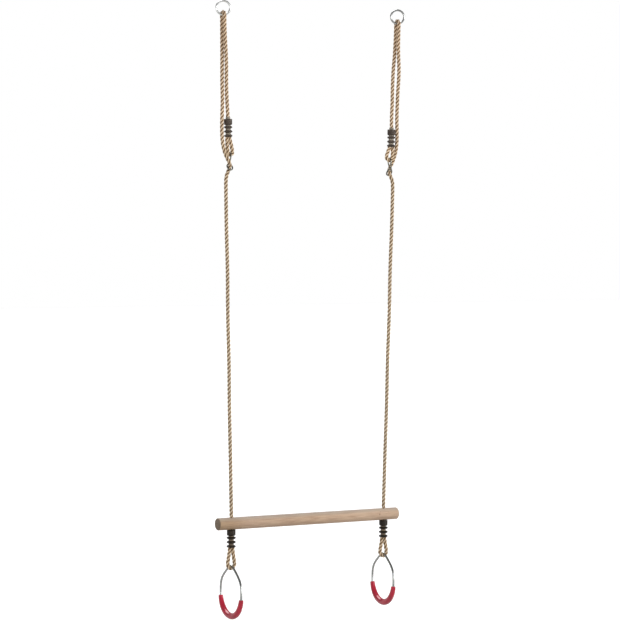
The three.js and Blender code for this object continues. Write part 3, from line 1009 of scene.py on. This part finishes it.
@dataclass
class RopeEye:
    """Loop of rope below a sleeve: down one leg, round the bend and up the other."""

    maker: RopeMaker
    name: str
    shape: EyeShape
    mouth: Vector
    across: Vector
    down: Vector
    # How far its lowest point is below the mouth, and how far its foot is drawn aside
    length: float
    drift: Vector = field(default_factory=lambda: Vector((0, 0, 0)))
    hidden: float = 0.005
    steps: int = 8

    def build(self) -> Object:
        """Build the loop.

        Returns:
            The piece.
        """
        shape, bend = self.shape, self.shape.bend
        straight = self.length - bend
        half = [(shape.pinch, -self.hidden)] + [
            (shape.mouth_half + (shape.belly - shape.mouth_half) * wide, straight * far)
            for wide, far in shape.swell
        ]
        angles = [math.pi * i / BEND_STEPS for i in range(1, BEND_STEPS)]
        bent = [(bend * math.cos(angle), straight + bend * math.sin(angle)) for angle in angles]
        points = []
        for wide, far in half + bent + [(-wide, far) for wide, far in reversed(half)]:
            share = min(max(far / straight, 0), 1)
            eased = share * share * (3 - 2 * share)
            points.append(self.mouth + self.across * wide + self.down * far + self.drift * eased)
        line = smooth_line(points, self.steps)
        made = piece(self.name, self.maker.mesh(line), self.maker.finish, Edge.SOFT)
        self.maker.declare(made, line, "hanging")
        return made


@dataclass
class WireMaker:
    """Makes bent and welded wire rings."""

    step: float = 0.0015
    sides: int = 24
    # Half length of a weld's swelling, as a share of the wire
    weld_share: float = 0.45
    shape: ShapeTree = field(init=False)

    def __post_init__(self) -> None:
        """Build the geometry tree once."""
        self.shape = ShapeTree("bent_wire", {
            "Diameter": "Float", "Step": "Float", "Sides": "Int", "Weld Swell": "Float",
            "Weld Half Length": "Float"})
        tree, given = self.shape.tree, self.shape.given
        along = add(tree, "GeometryNodeSplineParameter").outputs["Length"]
        off = add(tree, "ShaderNodeMath", {0: along, 1: given["Weld Half Length"]}, operation="DIVIDE")
        square = add(tree, "ShaderNodeMath", {0: off, 1: off}, operation="MULTIPLY")
        bell = add(tree, "ShaderNodeMath", {0: square, 1: -1.0}, operation="MULTIPLY")
        rise = add(tree, "ShaderNodeMath", {0: bell}, operation="EXPONENT")
        radius = add(tree, "ShaderNodeMath", {
            0: rise, 1: given["Weld Swell"], 2: 1.0}, operation="MULTIPLY_ADD")
        swollen = add(tree, "GeometryNodeSetCurveRadius", {"Curve": self.shape.curve(), "Radius": radius})
        half = add(tree, "ShaderNodeMath", {0: given["Diameter"], 1: 0.5}, operation="MULTIPLY")
        section = add(tree, "GeometryNodeCurvePrimitiveCircle", {
            "Resolution": given["Sides"], "Radius": half})
        self.shape.finish(add(tree, "GeometryNodeCurveToMesh", {
            "Curve": swollen, "Profile Curve": section, "Fill Caps": True}))

    def ring(self, name: str, line: Sequence[Vector], diameter: float, finish: Material,
             swell: float = 0.0) -> Object:
        """Make a closed ring of wire, its weld at the line's first point.

        Args:
            name: the piece's name.
            line: the wire's centreline, which closes on itself.
            diameter: the wire's diameter.
            finish: its material.
            swell: how much thicker the weld is, as a share of the wire.

        Returns:
            The piece.
        """
        mesh = self.shape.grow(chain(line, closed=True), {
            "Diameter": diameter, "Step": self.step, "Sides": self.sides, "Weld Swell": swell,
            "Weld Half Length": diameter * self.weld_share, "Material": finish})
        return piece(name, mesh, finish, Edge.SOFT)


@dataclass
class TopRing:
    """Round welded ring that hangs on the hook."""

    rig: Rig
    side: Side
    wires: WireMaker
    finish: Material
    bore: float = 0.034
    wire: float = 0.0055
    turn: float = math.radians(-20)
    weld_at: float = math.radians(200)
    weld_swell: float = 0.16
    steps: int = 96

    def build(self) -> None:
        """Build the ring."""
        radius = (self.bore + self.wire) / 2
        centre = Vector((self.rig.top.x * self.side.value, 0, self.rig.swing_z + radius))
        line = []
        for i in range(self.steps):
            angle = self.weld_at + TURN * i / self.steps
            flat = Vector((radius * math.cos(angle), 0, radius * math.sin(angle)))
            line.append(centre + Matrix.Rotation(self.turn, 3, "Z") @ flat)
        node = f"top_ring_{self.side.word}"
        made = self.wires.ring(f"{node}_wire", line, self.wire, self.finish, self.weld_swell)
        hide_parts(node)
        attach(made, "hangers")


@dataclass
class Adjuster:
    """One wire bent into two eyes, a quarter turn apart, that slides on the main leg."""

    rig: Rig
    side: Side
    wires: WireMaker
    finish: Material
    drop: float
    wire: float = 0.004
    inboard: float = 0.0122
    back: float = -0.003
    lean: float = math.radians(-8)
    tilt: float = math.radians(35)
    waist: float = 0.00162
    upper_half: float = 0.0084
    upper_length: float = 0.031
    lower_half: float = 0.0084
    lower_length: float = 0.0245
    # Share of the eye's half width, and share of its length from the waist
    upper_shares: Pairs = ((0.84, 0.86), (1, 0.62), (0.74, 0.28))
    lower_shares: Pairs = ((0.62, 0.2), (0.95, 0.44), (1, 0.66), (0.7, 0.88))
    steps: int = 10

    def lower_point(self, wide: float, far: float) -> Vector:
        """Place a point of the lower eye, which is tilted to face the rope.

        Args:
            wide: share of the eye's half width.
            far: share of its length from the waist.

        Returns:
            The point from the waist.
        """
        back, down = math.sin(self.tilt), math.cos(self.tilt)
        return Vector((
            wide * self.lower_half, -far * self.lower_length * back, -far * self.lower_length * down))

    def points(self) -> list[Vector]:
        """List the wire's points: half of it, then the same half turned.

        Returns:
            The points from the waist.
        """
        up = [Vector((0, wide * self.upper_half, far * self.upper_length)) for wide, far in self.upper_shares]
        down = [self.lower_point(wide, far) for wide, far in self.lower_shares]
        waist = Vector((self.waist, self.waist, 0))
        return [
            Vector((0, 0, self.upper_length)), *up, waist, *down, self.lower_point(0, 1),
            *[Vector((-p.x, p.y, p.z)) for p in reversed(down)], -waist,
            *[Vector((p.x, -p.y, p.z)) for p in reversed(up)],
        ]

    def build(self) -> None:
        """Build the wire."""
        leaning = Matrix.Rotation(self.lean, 3, "Y")
        placed = []
        for point in self.points():
            own = leaning @ point
            placed.append(self.rig.placed(
                self.side, (own.x - self.inboard, self.back - own.y, self.drop - own.z)))
        node = f"adjuster_{self.side.word}"
        line = smooth_line(placed, self.steps, closed=True)
        made = self.wires.ring(f"{node}_wire", line, self.wire, self.finish)
        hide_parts(node)
        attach(made, f"rope_{self.side.word}")


@dataclass(frozen=True)
class Spindle:
    """The straight axis that a sleeve's shapes are turned about."""

    start: Vector
    way: Vector

    def place(self, radius: float, along: float, angle: float) -> Vector:
        """Place a point of a turned shape.

        Args:
            radius: how far it is from the axis.
            along: how far it is behind the start.
            angle: where it is round the axis.

        Returns:
            The point in the object's frame.
        """
        side = self.way.orthogonal().normalized()
        other = self.way.cross(side)
        return self.start - self.way * along + (side * math.cos(angle) + other * math.sin(angle)) * radius


@dataclass
class Sleeve:
    """Moulded sleeve that clamps a rope's eye: a plain head, then ribs on a neck."""

    finish: Material
    head: float
    rib: float
    head_length: float = 0.017
    neck: float = 0.015
    first_rib: float = 0.0234
    rib_pitch: float = 0.0122
    rib_count: int = 3
    rib_depth: float = 0.0074
    rib_root: float = 0.0006
    bore: float = 0.0104
    collar: float = 0.013
    segments: int = 72
    # How far in from the side, and how far from the end, where the head's two ends and the collar are eased
    foot_edge: Pairs = ((0.0024, 0.0), (0.00108, 0.00084), (0.0003, 0.0024), (0.0, 0.0032))
    end_edge: Pairs = ((0.0, 0.0016), (0.0002, 0.0009), (0.0007, 0.0003), (0.0014, 0.0))
    collar_edge: Pairs = ((0.0, 0.0012), (0.0004, 0.0003), (0.001, 0.0))
    # The tube inside: its slack on the rope, how far it ends inside the sleeve, its edge and the collar's lip
    tube_slack: float = 0.0004
    tube_short: float = 0.0008
    tube_hidden: float = 0.002
    tube_edge: float = 0.0005
    collar_lip: float = 0.0003
    rib_shares: Pairs = (
        (0.0, 1.0), (0.25, 0.96), (0.5, 0.84), (0.75, 0.62), (0.9, 0.39), (0.97, 0.20), (1.0, 0.0))

    @property
    def length(self) -> float:
        """How long the whole sleeve is below its head's end."""
        return self.first_rib + (self.rib_count - 1) * self.rib_pitch + self.rib_depth / 2

    def rib_tree(self) -> ShapeTree:
        """Build the tree that stacks the ribs.

        Returns:
            The tree.
        """
        shape = ShapeTree("sleeve_ribs", {"Count": "Int", "Step": "Vector"})
        tree, given = shape.tree, shape.given
        stack = add(tree, "GeometryNodeMeshLine", {"Count": given["Count"], "Offset": given["Step"]})
        shape.finish(add(tree, "GeometryNodeInstanceOnPoints", {
            "Points": stack, "Instance": given["Geometry"]}))
        return shape

    def rib_profile(self) -> list[tuple[float, float]]:
        """List one rib's outline, from the neck along its top, round its rim and back along its underside.

        Returns:
            Points of radius and distance along.
        """
        neck, half = self.neck / 2 - self.rib_root, self.rib_depth / 2
        reach = self.rib / 2 - neck
        upper = [(neck + reach * out, half * thick) for out, thick in self.rib_shares]
        return upper + [(out, -thick) for out, thick in reversed(upper[:-1])]

    def build(self, name: str, top: Vector, down: Vector) -> Object:
        """Build a sleeve.

        Args:
            name: the piece's name.
            top: the middle of its head's end.
            down: the way it points.

        Returns:
            The piece.
        """
        way = down.normalized()
        head, bore, foot = self.head / 2, self.bore / 2, -self.head_length
        outline = [
            (bore, foot), *[(head - inward, foot + short) for inward, short in self.foot_edge],
            *[(head - inward, -short) for inward, short in self.end_edge], (bore, 0.0),
        ]
        shell = lathe(outline, self.segments, Spindle(top, way).place, closed=True)
        first = Spindle(top + way * self.first_rib, way)
        carrier = linked("rib", lathe(self.rib_profile(), self.segments, first.place, closed=True))
        ribs = self.rib_tree().grow(carrier, {
            "Count": self.rib_count, "Step": tuple(way * self.rib_pitch), "Material": self.finish})
        build = bmesh.new()
        build.from_mesh(shell)
        build.from_mesh(ribs)
        joined = bpy.data.meshes.new(name)
        build.to_mesh(joined)
        build.free()
        made = piece(name, joined, self.finish, Edge.MOULDED)
        return made

    def build_liner(self, name: str, top: Vector, down: Vector, collar: float,
                    finish: Material) -> Object:
        """Build the paler tube inside, which shows between the ribs and may stand out of the head.

        Args:
            name: the piece's name.
            top: the middle of the head's end.
            down: the way the sleeve points.
            collar: how far it stands out of the head.
            finish: the tube's material.

        Returns:
            The piece.
        """
        bore, neck, rim = self.bore / 2 + self.tube_slack, self.neck / 2, self.collar / 2
        low, shoulder, edge = self.tube_short - self.length, -self.head_length, self.tube_edge
        outline = [
            (bore, low), (neck - edge, low), (neck, low + edge), (neck, shoulder + 2 * edge),
            (rim, shoulder + self.tube_hidden)]
        if collar:
            outline += [(rim - inward, collar - short) for inward, short in self.collar_edge]
            outline += [(bore + self.collar_lip, collar), (bore, collar - self.collar_lip)]
        else:
            outline += [(rim, -self.tube_hidden), (bore, -self.tube_hidden)]
        place = Spindle(top, down.normalized()).place
        made = piece(name, lathe(outline, self.segments, place, closed=True), finish, Edge.MOULDED)
        return made


@dataclass
class Bar:
    """Round beech dowel with eased ends and a drilled hole near each end."""

    rig: Rig
    finish: TurnedBeech
    edge: float = 0.0025
    edge_steps: int = 8
    length_steps: int = 60
    segments: int = 128
    hole: float = 0.0116
    hole_flare: float = 0.0012
    hole_segments: int = 48
    # How far the drill goes past the surface
    overrun: float = 0.002

    def build(self) -> None:
        """Build the bar."""
        low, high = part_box("bar")
        radius = (high[2] - low[2]) / 2
        half = (high[0] - low[0]) / 2
        axis_z = (high[2] + low[2]) / 2

        def place(out: float, along: float, angle: float) -> Vector:
            """Place a point of the dowel, by its radius, its place along the bar and its angle."""
            return Vector((along, out * math.cos(angle), axis_z + out * math.sin(angle)))

        end = [(0.0, half)]
        for i in range(self.edge_steps + 1):
            angle = math.pi / 2 * i / self.edge_steps
            end.append((
                radius - self.edge + self.edge * math.sin(angle),
                half - self.edge + self.edge * math.cos(angle)))
        middle = [
            (radius, half - self.edge - (2 * half - 2 * self.edge) * i / self.length_steps)
            for i in range(1, self.length_steps)
        ]
        outline = end + middle + [(out, -along) for out, along in reversed(end)]
        dowel = lathe(outline, self.segments, place)
        made = piece("bar_dowel", dowel, self.finish.material(axis_z, radius, half), Edge.MOULDED)
        for side in Side:
            self.drill(made, side.value * self.rig.low.x, axis_z, radius)
        graph = bpy.context.evaluated_depsgraph_get()
        cut = bpy.data.meshes.new_from_object(made.evaluated_get(graph))
        for modifier in list(made.modifiers):
            bpy.data.objects.remove(modifier.object)
            made.modifiers.remove(modifier)
        made.data = cut
        cut.shade_smooth()
        cut.set_sharp_from_angle(angle=Edge.MOULDED.value)
        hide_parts("bar")
        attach(made, "bar")

    def drill(self, made: Object, x: float, axis_z: float, radius: float) -> None:
        """Drill a hole, eased where it meets the surface.

        Args:
            made: the bar.
            x: where along the bar the hole is.
            axis_z: height of the bar's axis.
            radius: the bar's radius.
        """
        def place(out: float, along: float, angle: float) -> Vector:
            """Place a point of the drill, by its radius, its height from the bar's axis and its angle."""
            return Vector((x + out * math.cos(angle), out * math.sin(angle), axis_z + along))

        hole = self.hole / 2
        far = radius + self.overrun
        flared = hole + self.hole_flare + self.overrun
        near = radius - self.hole_flare
        profile = [(0.0, -far), (flared, -far), (hole, -near), (hole, near), (flared, far), (0.0, far)]
        cutter = linked("drill", lathe(profile, self.hole_segments, place))
        modifier = made.modifiers.new("hole", "BOOLEAN")
        modifier.operation = "DIFFERENCE"
        modifier.solver = "EXACT"
        modifier.object = cutter


@dataclass
class GymRing:
    """Pointed wire ring with a moulded grip round its bottom."""

    rig: Rig
    side: Side
    wires: WireMaker
    steel: Material
    vinyl: Material
    wire: float = 0.0064
    width: float = 0.120
    height: float = 0.146
    grip_half_angle: float = math.radians(84)
    grip_end: float = 0.0136
    grip_middle: float = 0.0184
    grip_edge: float = 0.0026
    grip_lip: float = 0.0008
    grip_gap: float = 0.0001
    # Share of the half width, and share of the way down from the apex to the round bottom
    shoulder: Pairs = (
        (0.133, 0.03), (0.33, 0.125), (0.53, 0.235), (0.715, 0.35), (0.865, 0.47), (0.96, 0.61), (1, 0.78))
    bottom_steps: int = 14
    span_steps: int = 8
    stations: int = 64
    edge_steps: int = 6
    segments: int = 48

    def build(self) -> None:
        """Build the wire and its grip."""
        word = self.side.word
        hip = self.rig.hips[f"ring_tilt_{word}"]
        bend = self.width / 2
        straight = self.height - bend
        shoulder = [(wide * bend, -down * straight) for wide, down in self.shoulder]
        angles = [math.pi * i / self.bottom_steps for i in range(self.bottom_steps + 1)]
        bottom = [(bend * math.cos(angle), -straight - bend * math.sin(angle)) for angle in angles]
        outline = [(0.0, 0.0)] + shoulder + bottom + [(-y, z) for y, z in reversed(shoulder)]
        # The wire starts and ends inside the grip
        half = len(outline) // 2
        across = self.rig.axes[f"ring_tilt_{word}"]
        points = [hip + across * wide + Vector((0, 0, z)) for wide, z in outline[half:] + outline[:half]]
        line = smooth_line(points, self.span_steps, closed=True)
        wire = self.wires.ring(f"gym_ring_{word}_wire", line, self.wire, self.steel)
        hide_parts(f"gym_ring_{word}")
        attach(wire, f"ring_{word}")
        self.grip(hip - Vector((0, 0, straight)), bend, across)

    def grip_profile(self, half: float) -> list[tuple[float, float]]:
        """List the grip's outline, as it would be on a straight wire: fullest in its middle, with eased ends.

        Args:
            half: half of its length.

        Returns:
            Points of radius and distance along.
        """
        bore, edge = self.wire / 2 + self.grip_gap, self.grip_edge
        outer = []
        for i in range(self.stations + 1):
            share = 2 * i / self.stations - 1
            swell = math.cos(math.pi / 2 * share)
            thick = self.grip_end / 2 + (self.grip_middle - self.grip_end) / 2 * swell
            outer.append((thick, share * (half - edge)))
        ease = []
        for i in range(1, self.edge_steps + 1):
            angle = math.pi / 2 * i / self.edge_steps
            ease.append((
                self.grip_end / 2 - edge + edge * math.cos(angle), half - edge + edge * math.sin(angle)))
        lip = bore + self.grip_lip
        start = [(bore, -half), (lip, -half)] + [(out, -along) for out, along in reversed(ease)]
        inner = [(bore, half - 2 * half * i / self.stations) for i in range(1, self.stations)]
        return start + outer + ease + [(lip, half), (bore, half)] + inner

    def grip(self, centre: Vector, bend: float, across: Vector) -> None:
        """Build the grip.

        Args:
            centre: the centre of the ring's round bottom.
            bend: the radius of the wire there.
            across: the level direction in the ring's plane.
        """
        def place(out: float, along: float, angle: float) -> Vector:
            """Bend the straight grip round the ring's bottom.

            Args:
                out: how far the point is from the wire's middle.
                along: how far it is along the wire from the bottom.
                angle: where it is round the wire.

            Returns:
                The point in the object's frame.
            """
            reach = bend + out * math.sin(angle)
            at = along / bend
            flat = across * (reach * math.sin(at)) + across.cross(Vector((0, 0, 1))) * (out * math.cos(angle))
            return centre + flat - Vector((0, 0, reach * math.cos(at)))

        word = self.side.word
        profile = self.grip_profile(self.grip_half_angle * bend)
        mesh = lathe(profile, self.segments, place, closed=True)
        made = piece(f"grip_{word}_vinyl", mesh, self.vinyl, Edge.MOULDED)
        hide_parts(f"grip_{word}")
        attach(made, f"ring_{word}")


@dataclass(frozen=True)
class Studio:
    """Camera at the photograph's place, soft light from the upper right, and a white surround."""

    yaw: float = math.radians(29.52)
    pitch: float = math.radians(2.255)
    roll: float = math.radians(0.389)
    distance: float = 7.151
    lens: float = 142.68
    sensor: float = 36.0
    aim: tuple[float, float, float] = (-0.0002, 0.0001, -0.8794)
    floor_drop: float = 0.40
    floor_half: float = 30.0
    floor_tone: str = "D9D9D9"
    floor_glow: float = 0.55
    surround: float = 0.62
    # Each distant lamp's name, degrees round from the front, degrees up, strength and width in degrees
    suns: tuple[tuple[str, float, float, float, float], ...] = (
        ("key", 18, 34, 1.45, 45), ("fill", -50, 40, 0.15, 60))
    # The room that bright things mirror, from straight down to straight up, with a bright horizon
    room: Stops = (
        (0.0, "B6B6B4"), (0.43, "C2C2C0"), (0.465, "FFFFFF"), (0.525, "FFFFFF"), (0.555, "A0A0A0"),
        (0.60, "7A7A7A"), (1.0, "6E6E6E"))
    room_level: float = 1.25
    # The way to each lamp in that room, its spread in degrees, and its strength
    lamps: tuple[tuple[tuple[float, float, float], float, float], ...] = (
        ((0.589, -0.796, 0.137), 16, 9.0), ((-0.05, 0.53, 0.847), 24, 7.0))
    # Share of a lamp's spread that has its full strength
    lamp_core: float = 0.6

    def camera(self) -> None:
        """Make the camera."""
        data = bpy.data.cameras.new("camera")
        data.lens = self.lens
        data.sensor_width = self.sensor
        made = linked("camera", data)
        ahead = Vector((
            math.sin(self.yaw) * math.cos(self.pitch), math.cos(self.yaw) * math.cos(self.pitch),
            -math.sin(self.pitch)))
        made.location = Vector(self.aim) - ahead * self.distance
        turned = ahead.to_track_quat("-Z", "Y").to_matrix() @ Matrix.Rotation(self.roll, 3, "Z")
        made.rotation_mode = "QUATERNION"
        made.rotation_quaternion = turned.to_quaternion()
        bpy.context.scene.camera = made

    def sun(self, name: str, azimuth: float, elevation: float, strength: float, spread: float) -> None:
        """Add a distant soft lamp.

        Args:
            name: the lamp's name.
            azimuth: where it stands, in degrees round from the front.
            elevation: how high it stands, in degrees.
            strength: its strength.
            spread: its apparent width in degrees.
        """
        data = bpy.data.lights.new(name, "SUN")
        data.energy = strength
        data.angle = math.radians(spread)
        made = linked(name, data)
        a, e = math.radians(azimuth), math.radians(elevation)
        back = Vector((math.sin(a) * math.cos(e), -math.cos(a) * math.cos(e), math.sin(e)))
        made.rotation_mode = "QUATERNION"
        made.rotation_quaternion = back.to_track_quat("Z", "Y")
        made.visible_glossy = False

    def world(self) -> None:
        """Make the surround: white to the eye, plainer as light, and a room with lamps to bright things."""
        world = bpy.data.worlds.new("surround")
        bpy.context.scene.world = world
        world.use_nodes = True
        tree = world.node_tree
        tree.nodes.clear()
        path = add(tree, "ShaderNodeLightPath").outputs
        seen = add(tree, "ShaderNodeMath", {
            0: path["Is Camera Ray"], 1: path["Is Transmission Ray"]}, operation="MAXIMUM")
        soft = add(tree, "ShaderNodeBackground", {"Color": (1, 1, 1, 1), "Strength": self.surround})
        white = add(tree, "ShaderNodeBackground", {"Color": (1, 1, 1, 1), "Strength": 1.0})
        way = add(tree, "ShaderNodeTexCoord").outputs["Generated"]
        height = add(tree, "ShaderNodeSeparateXYZ", {0: way}).outputs["Z"]
        share = add(tree, "ShaderNodeMapRange", {"Value": height, "From Min": -1.0, "From Max": 1.0})
        room = add(tree, "ShaderNodeValToRGB", {"Fac": share}, stops=self.room)
        shown = add(tree, "ShaderNodeVectorMath", {0: room, 3: self.room_level}, operation="SCALE")
        for toward_lamp, spread, strength in self.lamps:
            near = add(tree, "ShaderNodeVectorMath", {0: way, 1: toward_lamp}, operation="DOT_PRODUCT")
            lamp = add(tree, "ShaderNodeMapRange", {
                "Value": near, "From Min": math.cos(math.radians(spread)),
                "From Max": math.cos(math.radians(spread * self.lamp_core)),
                "To Min": 0.0, "To Max": strength})
            shown = add(tree, "ShaderNodeVectorMath", {0: shown, 1: lamp}, operation="ADD")
        shiny = add(tree, "ShaderNodeBackground", {"Color": shown, "Strength": 1.0})
        lit = add(tree, "ShaderNodeMixShader", {0: path["Is Glossy Ray"], 1: soft, 2: shiny})
        mixed = add(tree, "ShaderNodeMixShader", {0: seen, 1: lit, 2: white})
        add(tree, "ShaderNodeOutputWorld", {"Surface": mixed})

    def floor(self) -> None:
        """Lay a white floor well below the rings, which still takes their shadow."""
        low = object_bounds()[0][2] - self.floor_drop
        half = self.floor_half
        mesh = bpy.data.meshes.new("floor")
        corners = [(-half, -half, low), (half, -half, low), (half, half, low), (-half, half, low)]
        mesh.from_pydata(corners, [], [(0, 1, 2, 3)])
        made = linked("floor", mesh)
        material, tree, shader = bare_material("matt_white_floor")
        feed(shader, {"Base Color": linear(self.floor_tone), "Roughness": 0.9})
        # Only the camera sees its glow, so it looks white and adds no light to the object
        glow = add(tree, "ShaderNodeEmission", {"Color": (1, 1, 1, 1), "Strength": self.floor_glow})
        none = add(tree, "ShaderNodeEmission", {"Color": (0, 0, 0, 1), "Strength": 0.0})
        eye = add(tree, "ShaderNodeLightPath").outputs["Is Camera Ray"]
        seen = add(tree, "ShaderNodeMixShader", {0: eye, 1: none, 2: glow})
        both = add(tree, "ShaderNodeAddShader", {0: shader, 1: seen})
        feed(tree.nodes["Material Output"], {"Surface": both})
        mesh.materials.append(material)
        made.visible_glossy = False
        made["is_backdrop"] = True

    def build(self) -> None:
        """Set the light and the surround."""
        for lamp in self.suns:
            self.sun(*lamp)
        self.world()
        self.floor()
        bpy.context.scene.view_settings.view_transform = "Standard"


@dataclass
class SideFittings:
    """What is clamped to one side's rope: its two eyes and the two sleeves that hold them."""

    rig: Rig
    side: Side
    ropes: SideRopes
    # What the sleeves and their tubes are moulded of
    plastics: dict[str, Material]
    # How far the upper sleeve's mouth is below its head's end, how far the bend of the gym ring's eye is
    # spread, up and down, and how far the upper sleeve's collar stands out
    mouth_below: float = 0.0515
    flex_half: float = 0.006
    upper_collar: float = 0.006

    def hung(self, drop: float, aside: float = 0.0, back: float = 0.0) -> Vector:
        """Place a point by the upper sleeve's own axis.

        Args:
            drop: how far it is below the swing axis.
            aside: how far outward of the axis it is.
            back: how far towards the back it is.

        Returns:
            The point in the object's frame.
        """
        return self.rig.placed(self.side, (-self.ropes.leg_offset + aside, back, drop))

    def build_gym_eye(self) -> None:
        """Build the eye that holds the gym ring."""
        word = self.side.word
        mouth = Vector((self.rig.low.x * self.side.value, 0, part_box(f"lower_sleeve_{word}")[0][2]))
        apex = self.rig.hips[f"ring_tilt_{word}"].z
        made = RopeEye(
            self.ropes.maker, f"rope_eye_{word}_loop", GYM_RING_EYE, mouth, Vector((1, 0, 0)),
            Vector((0, 0, -1)), mouth.z - apex + GYM_RING_EYE.below_wire).build()
        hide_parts(f"rope_eye_{word}")
        hip = self.rig.hips[f"eye_flex_{word}"].z
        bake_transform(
            made, "bar", f"eye_{word}", start=(0, 0, hip + self.flex_half), end=(0, 0, hip - self.flex_half))

    def build_adjuster_eye(self) -> None:
        """Build the eye that holds the adjuster, its foot drawn aside to the adjuster's wire."""
        word, shape = self.side.word, ADJUSTER_EYES[self.side]
        wire_up = Adjuster.upper_length * math.cos(Adjuster.lean)
        wire_in = Adjuster.inboard - Adjuster.upper_length * math.sin(Adjuster.lean)
        drop = self.ropes.sleeve_drop + self.mouth_below
        mouth = self.hung(drop)
        drift = self.rig.placed(self.side, (-wire_in, Adjuster.back, drop)) - mouth
        made = RopeEye(
            self.ropes.maker, f"rope_adjuster_eye_{word}", shape, mouth, self.hung(drop, aside=-1) - mouth,
            self.hung(drop + 1) - mouth, self.ropes.adjuster_drop - wire_up + shape.below_wire - drop,
            drift).build()
        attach(made, f"rope_{word}")

    def build_sleeves(self) -> None:
        """Build the two sleeves, each with the tube inside it."""
        word, drop = self.side.word, self.ropes.sleeve_drop
        top = self.hung(drop)
        foot = Vector((self.rig.low.x * self.side.value, 0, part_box(f"lower_sleeve_{word}")[1][2]))
        upper = Sleeve(self.plastics["upper"], head=0.0236, rib=0.024)
        lower = Sleeve(self.plastics["lower"], head=0.025, rib=0.0266)
        for kind, sleeve, place, way, collar, body in (
                ("upper", upper, top, self.hung(drop + 1) - top, self.upper_collar, f"rope_{word}"),
                ("lower", lower, foot, Vector((0, 0, -1)), 0.0, "bar")):
            node = f"{kind}_sleeve_{word}"
            tube = self.plastics[f"{kind} tube"]
            for made in (sleeve.build(f"{node}_moulding", place, way),
                         sleeve.build_liner(f"{node}_tube", place, way, collar, tube)):
                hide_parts(node)
                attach(made, body)

    def build(self) -> None:
        """Build the eyes, then the sleeves."""
        self.build_gym_eye()
        self.build_adjuster_eye()
        self.build_sleeves()


def main() -> None:
    """Build the trapeze round its frame."""
    logging.basicConfig(level=logging.INFO, format="%(name)s: %(message)s")
    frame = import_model()
    studio = Studio()
    studio.camera()
    rig = Rig(frame)
    maker = RopeMaker(LaidRope().material())
    wires = WireMaker()
    # How far the upper sleeve and the adjuster hang below the swing axis
    drops = {Side.LEFT: (0.295, 0.420), Side.RIGHT: (0.313, 0.428)}
    # Both top rings are the same plated steel; the right one is a darker copy, a painted reflection of darker
    # surroundings
    painted_dark_reflection = PlatedSteel("zinc_plated_steel_wire_dulled", "C2C3C2", "A6A7A6", (0.12, 0.22))
    top_steel = {Side.LEFT: PlatedSteel().material(), Side.RIGHT: painted_dark_reflection.material()}
    grey = PlatedSteel("zinc_plated_steel_wire_handled", "BEC0BF", "989A99", (0.14, 0.24)).material()
    dull = PlatedSteel("weathered_zinc_wire", "9E9C92", "6F6D64", (0.28, 0.44), 5.0).material()
    vinyl = RedVinyl().material()
    plastics = {
        "upper": MouldedPlastic().material(),
        # The lower sleeve is a darker copy of the same plastic: painted shade under the bar
        "lower": MouldedPlastic("moulded_polypropylene_unfaded", "1A140D", "2C241A").material(),
        "upper tube": MouldedPlastic("moulded_pale_polyethylene", "8A8070", "A2998A").material(),
        # The lower tube is a darker copy of the same tube: painted shade under the bar
        "lower tube": MouldedPlastic("moulded_brown_polyethylene", "6C5F50", "83745F").material(),
    }
    for side in Side:
        ropes = SideRopes(rig, side, maker, *drops[side])
        ropes.build()
        SideFittings(rig, side, ropes, plastics).build()
        TopRing(rig, side, wires, top_steel[side]).build()
        Adjuster(rig, side, wires, dull, ropes.adjuster_drop).build()
        GymRing(rig, side, wires, grey, vinyl).build()
    Bar(rig, TurnedBeech()).build()
    studio.build()
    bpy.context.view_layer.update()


if __name__ == "__main__":
    main()
